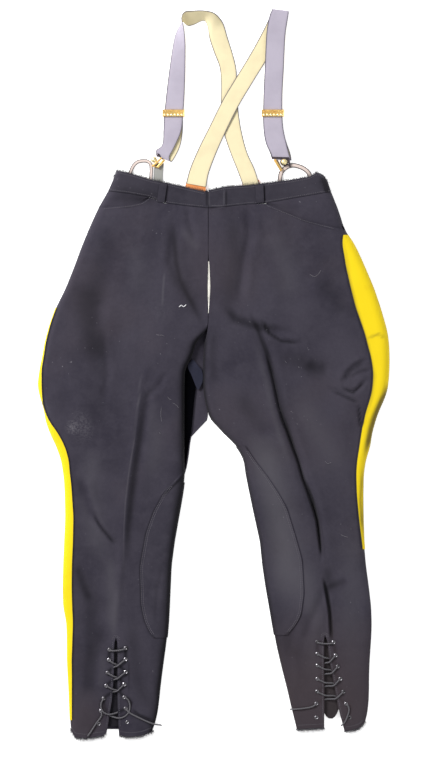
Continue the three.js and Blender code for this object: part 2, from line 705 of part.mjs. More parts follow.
// ---- hardware ----
const wasm = await Module();
wasm.setup();

function solid(geometry) {
  return new wasm.Manifold(
    new wasm.Mesh({
      numProp: 3,
      vertProperties: new Float32Array(geometry.attributes.position.array),
      triVerts: new Uint32Array(geometry.index.array),
    }),
  );
}

function geometryOf(manifold) {
  const m = manifold.getMesh();
  const pos = [];
  for (let i = 0; i < m.numVert; i++) {
    for (let k = 0; k < 3; k++) pos.push(m.vertProperties[i * m.numProp + k]);
  }
  const g = new THREE.BufferGeometry();
  g.setAttribute("position", new THREE.Float32BufferAttribute(pos, 3));
  g.setIndex([...m.triVerts]);
  return g;
}

function cutHoles(geometry, spots) {
  const drills = spots.map(([x, y]) => wasm.Manifold.cylinder(40, HOLE, HOLE, 6).translate([x, y, -5]));
  return geometryOf(solid(geometry).subtract(wasm.Manifold.union(drills)));
}

// A rod with rounded ends between two points.
function rod(a, b, r) {
  const ball = wasm.Manifold.sphere(r, 6);
  return wasm.Manifold.hull([ball.translate(a), ball.translate(b)]);
}

function rods(list, r) {
  return list.map(([a, b]) => rod(a, b, r));
}

function slider(x0, x1, y0, y1) {
  const [cx, cy] = [(x0 + x1) / 2, (y0 + y1) / 2];
  const outer = wasm.Manifold.cube([x1 - x0 + 4.4, y1 - y0, 9.4], true).translate([cx, cy, 5.3]);
  const inner = wasm.Manifold.cube([x1 - x0 + 1.4, 60, 7], true).translate([cx, cy, 5.1]);
  return geometryOf(outer.subtract(inner));
}

function washer(s) {
  const profile = [[2, 0], [4.1, 0], [3.6, 0.8], [2, 0.9], [2, 0]].map(([x, y]) => new THREE.Vector2(x, y));
  const g = new THREE.LatheGeometry(profile, 8);
  g.rotateX(Math.PI / 2);
  g.applyQuaternion(new THREE.Quaternion().setFromUnitVectors(V(0, 0, 1), s.n));
  const seat = moved(s, 0.55);
  g.translate(seat.x, seat.y, seat.z);
  g.deleteAttribute("uv");
  g.deleteAttribute("normal");
  return g;
}

// ---- materials ----
const mat = (color, roughness, metalness) => new THREE.MeshStandardMaterial({ color, roughness, metalness });
const CLOTH = mat(0x46434e, 0.92, 0);
const CLOTH_DARK = mat(0x34323c, 0.95, 0);
const YELLOW = mat(0xf8de10, 0.7, 0);
const CREAM = mat(0xf4ead0, 0.9, 0);
const LAVENDER = mat(0xc8c0d2, 0.75, 0);
const BRASS = mat(0xe0b050, 0.3, 1);
const TAN = mat(0xe08246, 0.6, 0);
const LEATHER = mat(0xb09a8c, 0.6, 0);
const CORD = mat(0x4a4650, 0.85, 0);
const NICKEL = mat(0x7c7b80, 0.35, 1);
const TAPE_GREY = mat(0x8f8f8c, 0.8, 0);

// ---- the object ----
const group = new THREE.Group();
group.name = "riding_breeches";
const meshes = [];
function add(name, geometry, material) {
  const mesh = new THREE.Mesh(geometry, material.clone());
  mesh.name = name;
  meshes.push(mesh);
  group.add(mesh);
}

for (const leg of [RIGHT, LEFT]) {
  const rows = frontGrid(leg);
  const spots = [...leg.eyeletsA, ...leg.eyeletsB];
  add(`front_panel_${leg.name}`, cutHoles(frontPanel(leg, rows), spots), CLOTH);
  add(`back_panel_${leg.name}`, backPanel(leg), CLOTH);
  add(`waistband_front_${leg.name}`, waistbandFront(leg), CLOTH);
  add(`pocket_facing_${leg.name}`, pocketFacing(leg), CLOTH);
  add(`side_stripe_${leg.name}`, stripe(leg, rows), YELLOW);
  add(`knee_patch_${leg.name}`, kneePatch(leg, rows), CLOTH);
  add(`vent_tongue_${leg.name}`, tongue(leg), CLOTH_DARK);
  const [outer, inner] = leg.dir < 0 ? [leg.eyeletsA, leg.eyeletsB] : [leg.eyeletsB, leg.eyeletsA];
  for (const [column, list] of [["outer", outer], ["inner", inner]]) {
    list.forEach(([x, y], i) => {
      add(`eyelet_${leg.name}_${column}_${i + 1}`, washer(skin(leg, x, y, "")), NICKEL);
    });
  }
}
add("waistband_back", waistbandBack(), CLOTH);
add("fly_facing", flyFacing(), CREAM);
add("belt_loop_right", beltLoop(RIGHT, [-94, 360.5], [-99.5, 324.5], 14), CLOTH);
add("belt_loop_left", beltLoop(LEFT, [88, 357], [89.5, 323.5], 15), CLOTH);
add("belt_loop_side", beltLoop(LEFT, [209, 370], [216, 346], 8), CLOTH_DARK);

// laces: the free ends are where the tails lie
const RIGHT_LOOPS = {
  A: {
    top: [[-211.5, -624], [-213.5, -632, 0.6], [-209.5, -643.5, 1.6], [-199.5, -649]],
    under: [[-178.5, -644.5], [-172, -641]],
  },
  B: {
    top: [[-161, -621], [-158, -630], [-159.5, -644], [-168, -653], [-178.5, -656]],
    under: [[-199, -650.5], [-206, -646]],
  },
};
const RIGHT_TAILS = {
  A: [[-211, -650, 1.7], [-222, -666, 1.7], [-233, -683, 1.7], [-238, -690, 1.7]],
  B: [
    [-160, -645, 1.7],
    [-140, -655.5, 1.7],
    [-125, -662.5, 1.9],
    [-115, -666.5, 11.8, true],
    [-107.8, -668.8, 8.5, true],
    [-104, -669.8, 3.4, true],
    [-98, -670.5, 1.5, true],
  ],
};
const LEFT_TAILS = {
  A: [
    [190, -634, 1.7],
    [175, -637, 1.7],
    [163, -638.3, 1.7],
    [153.5, -639.2, 2.2],
    [148, -639.6, 8.6, true],
    [146.6, -639.8, 5, true],
  ],
  B: [
    [258, -634, 1.8],
    [258.5, -643, 1.7],
    [254.5, -655, 1.7],
    [250.5, -664, 1.8],
    [246.2, -668.5, 1.2],
    [243.5, -671, -1.8],
  ],
};
add("lace_right", cord(lace(RIGHT, RIGHT_TAILS, RIGHT_LOOPS, 3), LACE / 2), CORD);
add("lace_left", cord(lace(LEFT, LEFT_TAILS, null, 3), LACE / 2), CORD);

// braces: left edge x, y, z, then right edge x, y, z
const STRAP_A = [
  [-93.5, 494, 3, -57.4, 494, 3],
  [-92, 465.5, 3, -57.8, 459.8, 3],
  [-94, 437, 3, -61.2, 437, 3],
  [-99.8, 423.7, 3, -67.5, 419.9, 3],
  [-105.4, 415, 5, -80.8, 402.8, 5],
  [-100.7, 422.8, 7, -82.1, 410.8, 7],
  [-96.1, 435.1, 7, -71.2, 431.3, 7],
  [-94.2, 464.2, 7, -60.4, 460.6, 7],
  [-93.1, 488.3, 7, -57, 488.3, 7],
  [-90.2, 519.6, 6.6, -54.1, 531, 6.6],
  [-82.5, 582.7, 5, -52.4, 590.9, 9],
  [-72, 642.2, 3.2, -52.8, 632, 22],
  [-63.6, 661, 2.6, -55.5, 655, 30],
  [-57.9, 668, 2.4, -59.7, 674.5, 31],
  [-47.5, 661.2, 2.2, -54.1, 684.8, 28],
  [-38, 662.7, 1.8, -39.9, 687, 26],
  [-16.3, 670.9, 1.6, -15.2, 687.2, 26],
  [-10.4, 659.3, 1.6, 3.2, 682.9, 22],
  [-6.8, 636.5, 1.4, 18.4, 667.7, 7],
  [2.7, 608, 1.1, 27.7, 639.4, 1.6],
  [12.3, 582.7, 1, 37, 609.9, 1],
  [15.2, 551.2, 1, 44.3, 579.5, 1],
  [14.8, 513.4, 1, 46, 537.7, 1],
  [16.1, 480.7, 1, 48.4, 499.7, 1],
  [23.2, 447.3, 1, 54.1, 461.7, 1],
  [34.2, 415.7, 1.2, 65.5, 418.8, 1.2],
  [46.7, 384.2, 3.4, 78.8, 389.5, 3.4],
  [56.5, 361, 5.2, 87.5, 366, 5.2],
];
const STRAP_B = [
  [95.6, 494, 3, 131.9, 494, 3],
  [95.9, 465.5, 3, 133.4, 465.5, 3],
  [100.7, 437, 3, 140.6, 437, 3],
  [108.3, 419, 3, 147.2, 418, 3],
  [112.1, 407.5, 5, 149.2, 404.7, 5],
  [110.2, 416.2, 7, 145.9, 413.3, 7],
  [100.3, 437.8, 7, 139.7, 437.8, 7],
  [95.6, 469.3, 7, 133.4, 469.3, 7],
  [95.6, 519.6, 7, 131.9, 519.6, 7],
  [98.8, 589, 7.4, 134.9, 582.7, 7.4],
  [102.6, 655.1, 8, 138.1, 645.6, 8],
  [108.3, 682.1, 8, 142.1, 672.6, 8],
  [112.9, 692.5, 5.2, 144.4, 688.8, 5.2],
  [104.5, 670.7, 2.6, 134.9, 654, 2.6],
  [76.8, 617.5, 1.4, 104.5, 600.4, 1.4],
  [46.7, 567, 3.6, 78.3, 557.5, 3.6],
  [18.4, 519.6, 4.2, 48.3, 507.3, 4.2],
  [-6.8, 469.3, 3.2, 23.2, 456.6, 3.2],
  [-28.9, 425, 2, 3.8, 412.3, 2],
  [-44.6, 387.2, 3.4, -8.4, 378.1, 3.4],
  [-51.5, 361, 5.2, -12.5, 354, 5.2],
];
add("brace_strap_right", ribbon(STRAP_A, WEB), LAVENDER);
add("brace_strap_left", ribbon(STRAP_B, WEB), LAVENDER);
add("brace_slider_right", slider(-93.9, -56.6, 488, 501), BRASS);
add("brace_slider_left", slider(94.9, 132.6, 488, 501), BRASS);

// clips: a thin wire ring for the strap, two thicker bars for the runner, a snap stud
const WIRE = 0.75;
const BAR = 1.7;
const RING_A = [
  [[-107, 427, 5], [-71.5, 411.6, 5]],
  [[-107, 427, 5], [-113, 406, 5]],
  [[-71.5, 411.6, 5], [-79, 399, 5]],
  [[-79, 399, 5], [-94, 403, 5.6]],
];
const BARS_A = [
  [[-97, 405, 6], [-114.9, 393.3, 6]],
  [[-91, 402, 6], [-106.4, 390.3, 6]],
  [[-114.9, 393.3, 6], [-106.4, 390.3, 6]],
  [[-112.5, 405, 6], [-108, 398, 6]],
];
const RING_B = [
  [[106.5, 417.4, 5], [151.5, 414.2, 5]],
  [[106.5, 417.4, 5], [111, 400, 5]],
  [[151.5, 414.2, 5], [150, 398, 5]],
];
const BARS_B = [
  [[111, 400, 6], [126, 384.5, 6]],
  [[150, 398, 6], [140, 386, 6]],
  [[126, 384.5, 6], [140, 386, 6]],
  [[134, 397, 6], [133, 386, 6]],
];
const stud = (r0, r1, place) => wasm.Manifold.cylinder(4.4, r0, r1, 14).translate(place);
function clip(ring, bars, end) {
  return geometryOf(wasm.Manifold.union([...rods(ring, WIRE), ...rods(bars, BAR), end]));
}
add("brace_clip_right", clip(RING_A, BARS_A, stud(4.6, 3.4, [-113, 406, 4.4])), BRASS);
add("brace_clip_left", clip(RING_B, BARS_B, stud(4.8, 3.6, [134, 397, 4.4])), BRASS);

// leather runners and the tape between them lie on the back band; tabs are sewn there
const ON_BAND = 3.05;
const RUN_A = [
  [-158.7, 364],
  [-156.5, 384],
  [-151, 396],
  [-144.4, 401.7],
  [-134.9, 404.3],
  [-125.4, 403],
  [-119, 397],
  [-117.3, 385.7],
  [-117.8, 374.3],
  [-118.8, 352],
];
const RUN_B = [
  [124.6, 350],
  [125.4, 368],
  [127, 380],
  [133, 387],
  [143.4, 391],
  [152, 392.8],
  [161.5, 392.3],
  [172.9, 388.5],
  [181.4, 381],
  [186.2, 364],
];
const TAPE = [[-99, 398, 3.35], [-101.6, 382, 2.9], [-104, 366, 2.7], [-106, 350, 2.7]];
const TAB_A = [
  [56.5, 363, 3.1, 88, 368, 3.1],
  [58, 350, 3.1, 89, 350, 3.1],
  [66, 336, 3.1, 84, 336, 3.1],
];
const TAB_B = [
  [-51.8, 363, 3.1, -13.5, 356, 3.1],
  [-51.5, 345, 3.1, -16, 337, 3.1],
  [-44, 330, 3.1, -27, 325, 3.1],
];
add("brace_runner_right", bandAlong(RUN_A.map(([x, y]) => [x, y, ON_BAND]), 5.5, 1.8, 1), LEATHER);
add("brace_runner_left", bandAlong(RUN_B.map(([x, y]) => [x, y, ON_BAND]), 5.5, 1.8, 1), LEATHER);
add("brace_tape_right", bandAlong(TAPE, 14, 1.2, 1), TAPE_GREY);
add("brace_tab_right", ribbon(TAB_B, 2, 2), TAN);
add("brace_tab_left", ribbon(TAB_A, 2, 2), TAN);

// ---- the origin under the middle of the outline, cords left out ----
const box = new THREE.Box3();
for (const mesh of meshes) {
  if (mesh.name.startsWith("lace_")) continue;
  mesh.geometry.computeBoundingBox();
  box.union(mesh.geometry.boundingBox);
}
const shift = [-(box.min.x + box.max.x) / 2, -(box.min.y + box.max.y) / 2, -box.min.z];
for (const mesh of meshes) {
  mesh.geometry.translate(...shift);
  mesh.geometry.computeVertexNormals();
}

export default group;
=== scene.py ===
"""Riding breeches laid flat with their braces: cloth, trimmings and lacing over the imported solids."""

import math
from contextlib import contextmanager

import bmesh
import bpy
import numpy as np
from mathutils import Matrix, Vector


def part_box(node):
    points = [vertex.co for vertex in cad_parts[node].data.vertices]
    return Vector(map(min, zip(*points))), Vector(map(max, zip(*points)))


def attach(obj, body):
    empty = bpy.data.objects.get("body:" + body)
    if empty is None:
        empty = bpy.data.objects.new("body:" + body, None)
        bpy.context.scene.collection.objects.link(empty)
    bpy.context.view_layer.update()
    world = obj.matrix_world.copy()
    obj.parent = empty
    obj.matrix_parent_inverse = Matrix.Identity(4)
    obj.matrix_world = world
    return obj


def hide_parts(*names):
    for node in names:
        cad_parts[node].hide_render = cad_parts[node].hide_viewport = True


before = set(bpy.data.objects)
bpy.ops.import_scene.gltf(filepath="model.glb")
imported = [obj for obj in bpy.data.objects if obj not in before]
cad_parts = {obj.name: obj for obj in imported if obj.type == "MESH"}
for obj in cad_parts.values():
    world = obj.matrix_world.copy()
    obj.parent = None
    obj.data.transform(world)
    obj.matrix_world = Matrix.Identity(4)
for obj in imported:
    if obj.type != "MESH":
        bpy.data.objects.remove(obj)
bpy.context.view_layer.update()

# ---- sizes, in millimetres; the offset puts the origin under the middle of the outline ----
MM = 0.001
OFFSET = np.array([-1.0, 0.323, 0.0])
# x of the fly's edge, where the two halves meet
CENTRE = -9.0
# walls of cloth and thickness of the trimmings
WALL, FACING_WALL, LOOP_WALL, FLY_WALL, SLOT_SHADOW_WALL = 1.8, 1.2, 1.3, 0.8, 0.8
STRIPE_WALL, PATCH_WALL, TONGUE_WALL, GUSSET_WALL = 0.9, 1.1, 1.2, 1.2
WEB, RUNNER_CORD, TAPE_WALL, TAB_WALL, LACE = 1.5, 1.8, 1.2, 2.0, 2.8
# height of a front's folded edge, how far the back's is under it, and the reach of each rounding
EDGE, BACK_GAP, CURL, BACK_CURL = 5.6, 0.7, 14.0, 9.0
# gaps: at the band's seam, under the stripe, under the patch, from the front down to the tongue
BAND_GAP, SEAM, PATCH_SEAM, TONGUE_DROP = 0.4, 0.35, 0.5, 5.8
# levels between which the rows of a front and of a back run straight across, and the fork's
FRONT_TOP, FRONT_LOW, BACK_TOP, BACK_LOW, FORK = 200.0, -660.0, 205.0, -600.0, -190
# step of a front's rows, points across its outer and inner part and across a back
FRONT_STEP, OUTER_COUNT, INNER_COUNT, BACK_COUNT = 2.7, 50, 54, 52
# how far the corners between levels are rounded, and the least width of a knee patch
EASE_REACH, PATCH_LEAST = 9.0, 17
# eyelets: radius of the hole in the cloth, of the rim's middle line and of its roll
EYELET_HOLE, RIM_RADIUS, RIM_WIRE = 2.3, 2.6, 1.1
# fringe of a hem and of the waist: number of hairs and their reach
HEM_FRINGE, WAIST_FRINGE = (3400, 8.5), (1700, 7.0)
# face of a slider: thickness, width of its raised rim, radius of a bead
PLATE, PLATE_RIM, BEAD = 1.0, 1.3, 1.5
rng = np.random.default_rng(7)


# ---- camera and light ----
def make_camera():
    """A long lens straight above, so that the view has hardly any perspective."""
    data = bpy.data.cameras.new("overhead_camera")
    data.lens = 147.95
    data.sensor_width = 36.0
    camera = bpy.data.objects.new("overhead_camera", data)
    camera.location = (0.0161, -0.0206, 6.012)
    bpy.context.scene.collection.objects.link(camera)
    bpy.context.scene.camera = camera


def soft_box(name, place, target, size, power):
    """A rectangular light that looks at its target."""
    data = bpy.data.lights.new(name, "AREA")
    data.shape = "RECTANGLE"
    data.size, data.size_y = size
    data.energy = power
    light = bpy.data.objects.new(name, data)
    light.location = place
    aim = Vector(target) - Vector(place)
    light.rotation_euler = aim.to_track_quat("-Z", "Y").to_euler()
    bpy.context.scene.collection.objects.link(light)


make_camera()

# ---- outlines, a row per level: y, outer x, stripe width, crease x, inner x, loft, inner roll ----
OUTER, STRIPE, CREASE, INNER, LOFT, ROLL = 1, 2, 3, 4, 5, 6
RIGHT = {
    "name": "right",
    "dir": -1,
    "rows": [
        (385, -183, 3, -70, -9.6, 16, 0), (345, -200, 3, -76, -9.6, 16, 0),
        (314, -217, 3, -80, -9.6, 16.5, 0), (280, -233, 3, -85, -9.6, 17, 0),
        (240, -250, 3, -90, -9.6, 18, 0), (200, -265, 3, -97, -9.6, 19, 0),
        (160, -281, 3, -103, -10.9, 20, 0), (124, -299, 1.6, -108, -9.6, 20, 0),
        (90, -311, 2, -113, -9.6, 20, 0), (78, -314, 2, -116, -14, 20, 0.5),
        (60, -319, 2.4, -118, -32, 20, 1), (30, -324, 3, -122, -40, 20, 1),
        (8, -329, 4, -126, -53, 20, 1), (-25, -333, 8, -132, -54.5, 20, 1),
        (-50, -327, 3.5, -137, -54.5, 20, 1), (-68, -321, 0.8, -141, -54.5, 20, 1),
        (-90, -318, 6.5, -144, -54.5, 20, 1), (-115, -309, 15, -147, -54.5, 20, 1),
        (-140, -297, 16, -151, -54.5, 19, 1), (-165, -288, 14, -156, -54.2, 19, 1),
        (-190, -284, 12, -160, -53.5, 18, 1), (-208, -282, 12.5, -162, -55, 18, 1),
        (-230, -281, 13, -165, -58, 17, 1), (-275, -280, 15, -168, -66, 17, 1),
        (-320, -282, 16, -170, -74, 16, 1), (-365, -284, 16, -174, -80, 15, 1),
        (-410, -285, 16.5, -180, -82, 14, 1), (-445, -284, 16.5, -183, -83.5, 13.5, 1),
        (-475, -278, 12, -185, -85, 13, 1), (-503, -277, 10, -184.5, -87.5, 12.5, 1),
        (-520, -277, 9.5, -184.6, -89.5, 12.5, 1), (-545, -277, 8.5, -184.8, -93, 12.5, 1),
        (-575, -275.5, 7.5, -185.2, -97, 12.5, 1), (-600, -274, 6, -186, -100, 12.5, 1),
        (-625, -273, 5, -187, -102.5, 12, 1), (-650, -272, 4, -188.6, -106, 12, 1),
        (-674, -271, 3, -190, -112.5, 11.5, 1), (-694, -266, 3, -191, -122, 11, 1),
    ],
    "seam": [
        (-217, 349), (-200, 346), (-160, 341), (-120, 334), (-92, 323), (-45, 317), (-9, 313.5),
    ],
    "top": [
        (-190, 372), (-183, 385), (-158, 379), (-115, 366), (-88, 361), (-16, 344), (-9, 347),
    ],
    "pocket": [
        (-222, 313), (-181, 317), (-155, 319.5), (-134, 324), (-120, 333.5), (-92, 322.6),
        (-45, 316.6), (-9, 313),
    ],
    "pocketStart": -120,
    "hem": [
        (-272, -676), (-262, -692), (-243, -694), (-208, -689), (-203, -684), (-179, -688),
        (-160, -691), (-137, -689), (-113, -680),
    ],
    "slitTop": -503,
    "slit": [
        (-503, -184.5, -184.5), (-512, -187.5, -182), (-525, -188.3, -181.4), (-575, -189, -181.4),
        (-600, -190.5, -181.4), (-625, -193, -181.2), (-650, -197, -180.5), (-694, -203.5, -178.5),
    ],
    "patchRows": (-208, -503),
    "patch": [
        (-208, -75), (-225, -92), (-263, -113), (-305, -128), (-368, -139), (-440, -137), (-470, -131),
        (-493, -121), (-503, -111),
    ],
    "stripeRows": (124, -660),
    "tongue": [
        (-509, 10), (-530, 14), (-600, 17), (-650, 20), (-664, 19), (-672, 15),
    ],
    "tongueMid": [
        (-509, -184.5), (-600, -186), (-672, -191),
    ],
    "eyeletsA": [
        (-197, -526), (-198, -545.5), (-200.5, -570), (-203, -594.5), (-208, -619), (-213, -642.6),
        (-217, -667),
    ],
    "eyeletsB": [
        (-166, -523), (-166.5, -544.5), (-166, -568.5), (-168.7, -592), (-168.7, -616.6), (-166, -638),
        (-163, -663.7),
    ],
    "backInner": [
        (-80, -9.6, 0), (-89, -10.5, 0.4), (-100, -21, 1), (-121, -41, 1), (-137, -44, 1),
        (-165, -48, 1), (-190, -52.5, 1),
    ],
}
LEFT = {
    "name": "left",
    "dir": 1,
    "rows": [
        (378, 214, 3, 44, -8.4, 16, 0), (344, 225, 3, 52, -8.4, 16, 0),
        (308, 239, 1, 62, -8.4, 16.5, 0), (272, 250, 1, 69, -8.4, 17, 0),
        (247, 267, 22, 73, -8.8, 17.5, 0), (225, 278, 29, 76, -8.9, 18, 0),
        (200, 289, 36, 79, -6.4, 18, 0), (160, 306, 44, 83, -4.7, 19, 0),
        (124, 318, 47, 83, -7.9, 20, 0), (90, 328, 45, 84, -9, 20, 0),
        (72, 332, 43, 88, -12, 20, 0.5), (55, 334, 41, 94, -17, 20, 1),
        (30, 335, 35, 103, -18.5, 20, 1), (0, 334.4, 30, 114, -19, 20, 1),
        (-30, 331.5, 29, 121, -18.5, 20, 1), (-50, 325, 27, 125, -16, 20, 1),
        (-70, 315.5, 24, 130, -11.5, 20, 1), (-88, 309, 22, 137, -5, 20, 1),
        (-115, 301.5, 20, 145, 20, 19, 1), (-140, 298, 20, 155, 46, 19, 1),
        (-165, 290, 16, 164, 60, 18, 1), (-190, 286, 14, 171, 63, 18, 1),
        (-230, 285, 12, 182, 71, 17, 1), (-275, 285.5, 8.5, 194, 80.5, 16, 1),
        (-320, 287, 4.5, 203, 90.6, 15, 1), (-365, 291, 3, 208, 95, 14, 1),
        (-410, 297, 3, 211, 101.7, 13, 1), (-445, 301, 3, 212.5, 108, 12.5, 1),
        (-475, 302, 3, 212.5, 113, 12.5, 1), (-498, 301.5, 3, 212.5, 117, 12.5, 1),
        (-520, 300, 3, 214, 121, 12.5, 1), (-550, 298, 3, 216.5, 128, 12.5, 1),
        (-580, 297, 3, 219.5, 135.5, 12.5, 1), (-605, 297, 3, 222, 142, 12.5, 1),
        (-628, 296, 3, 224, 147, 12, 1), (-652, 293, 3, 227, 153, 11.5, 1),
        (-680, 284, 3, 231, 160, 11, 1),
    ],
    "seam": [
        (-9, 314), (24, 316), (68, 321), (96, 322), (158, 333), (225, 344.5), (242, 347),
    ],
    "top": [
        (-9, 347), (24, 354), (72, 357), (96, 360), (145, 366), (184, 373), (196, 381), (208, 377),
        (218, 366),
    ],
    "pocket": [
        (-9, 313.5), (24, 315.6), (68, 320.6), (100, 321.6), (146, 303), (175, 291), (252, 271),
    ],
    "pocketStart": 100,
    "hem": [
        (159, -677), (211.5, -674), (250, -680), (266, -678), (278, -674), (290, -662),
    ],
    "slitTop": -498,
    "slit": [
        (-498, 212.5, 212.5), (-507, 211, 216.5), (-520, 211, 218.5), (-550, 211, 222),
        (-580, 211.3, 228), (-605, 211.5, 232.5), (-628, 211.5, 236.5), (-652, 211.5, 242),
        (-680, 211.5, 250.5),
    ],
    "patchRows": (-140, -498),
    "patch": [
        (-140, 62), (-169, 82), (-196, 103), (-228, 124.6), (-257, 140.6), (-317, 159), (-355, 169.5),
        (-419, 173), (-462, 167), (-485, 153), (-498, 138),
    ],
    "stripeRows": (262, -335),
    "tongue": [
        (-505, 10), (-530, 17), (-580, 20), (-628, 16.5), (-640, 15), (-648, 12), (-654, 8), (-657.5, 3.5),
    ],
    "tongueMid": [
        (-505, 213), (-580, 219), (-628, 224), (-657, 224),
    ],
    "eyeletsA": [
        (198, -511), (198.3, -534), (198.9, -556), (198.3, -581.4), (197.8, -605.5), (196.5, -628.5),
        (196.5, -655),
    ],
    "eyeletsB": [
        (229, -512), (233, -537), (237.5, -558), (242, -581.4), (248, -606), (253, -629),
        (259.5, -655),
    ],
    "backInner": [
        (-80, -8.4, 0), (-88, -5, 0.5), (-115, 20, 1), (-140, 46, 1), (-165, 60, 1), (-190, 63, 1),
    ],
}
# long crease across the left knee
LEFT_CREASE = (
    (84, 89), (93, 63), (103, 38), (114, -10), (125, -63), (133, -89), (141, -108), (151, -137),
    (162, -167), (171, -200), (182, -230), (191, -256), (198, -279), (202, -310), (205, -340),
)
# creases and puckers of each side: depth (negative stands up), half width, ridge beside it, points
FOLDS = {
    "right": [
        (4, 9, 1.5, ((-74, 279), (-79, 211), (-63, 169), (-11, 120))),
        (3, 12, 1, ((-217, 139), (-217, 82))),
        (-2.2, 7, 0, ((-126, 13), (-137, -23), (-144, -74), (-150, -129), (-160, -194), (-166, -243),
            (-170, -317), (-179, -412), (-186, -469))),
        (2.5, 9, 0, ((-120, -23), (-127, -74), (-135, -129), (-144, -194), (-150, -243), (-156, -317))),
        (4.5, 4, 1.6, ((-228, -262), (-218, -281), (-207, -300), (-184, -327))),
        (2.5, 8, 1, ((-249, -200), (-241, -241), (-226, -279))),
        (3, 7, 1, ((-256, -367), (-245, -403), (-232, -437))),
        (2.5, 7, 1, ((-48, 314), (-44, 287), (-32, 249))),
        (1.8, 6, 0.5, ((-129, -51), (-101, -23), (-86, 2))),
        (2.2, 7, 0.8, ((-209, 82), (-200, 6), (-207, -61))),
        (1.6, 12, 0.5, ((-272, 44), (-243, 2), (-207, -13))),
        (2, 9, 0.5, ((-222, -507), (-234, -560), (-238, -621))),
        (1.6, 5, 0.5, ((-91, -355), (-104, -412), (-108, -473))),
    ],
    "left": [
        (3.5, 9, 1.5, ((66, 319), (70, 262), (59, 211), (51, 139))),
        (4.5, 8, 2, ((25, 127), (44, 101), (82, 87), (146, 74))),
        (4, 9, 2, LEFT_CREASE),
        (6.5, 2.6, 1.6, LEFT_CREASE[2:]),
        (3.5, 2.6, 1.0, ((175, -200), (189, -239), (199, -284), (207, -355))),
        (3.2, 4, 1.5, ((93, 101), (110, 76), (135, 61), (169, 55))),
        (2.5, 10, 0.5, ((165, 40), (188, 10), (222, 2))),
        (5, 2.8, -1.6, ((214, -401), (218, -424), (223, -454), (225, -507))),
        (3, 4, 1.2, ((245, -27), (258, -36), (272, -34), (291, -13))),
        (3, 3.6, 1.2, ((222, -27), (249, -42), (277, -59))),
        (2.6, 2.6, 1, ((276, -59), (281, -108))),
        (3.2, 4.5, 1.2, ((247, -19), (256, 0), (268, 13), (291, 25))),
        (2, 4, 0.8, ((260, -10), (279, 0), (300, 4))),
        (2.5, 12, 0.5, ((46, -40), (74, -74), (112, -124))),
        (2, 9, 0.8, ((228, -378), (207, -431), (173, -507))),
        (1.8, 9, 0.5, ((158, -469), (142, -536), (146, -602))),
    ],
}
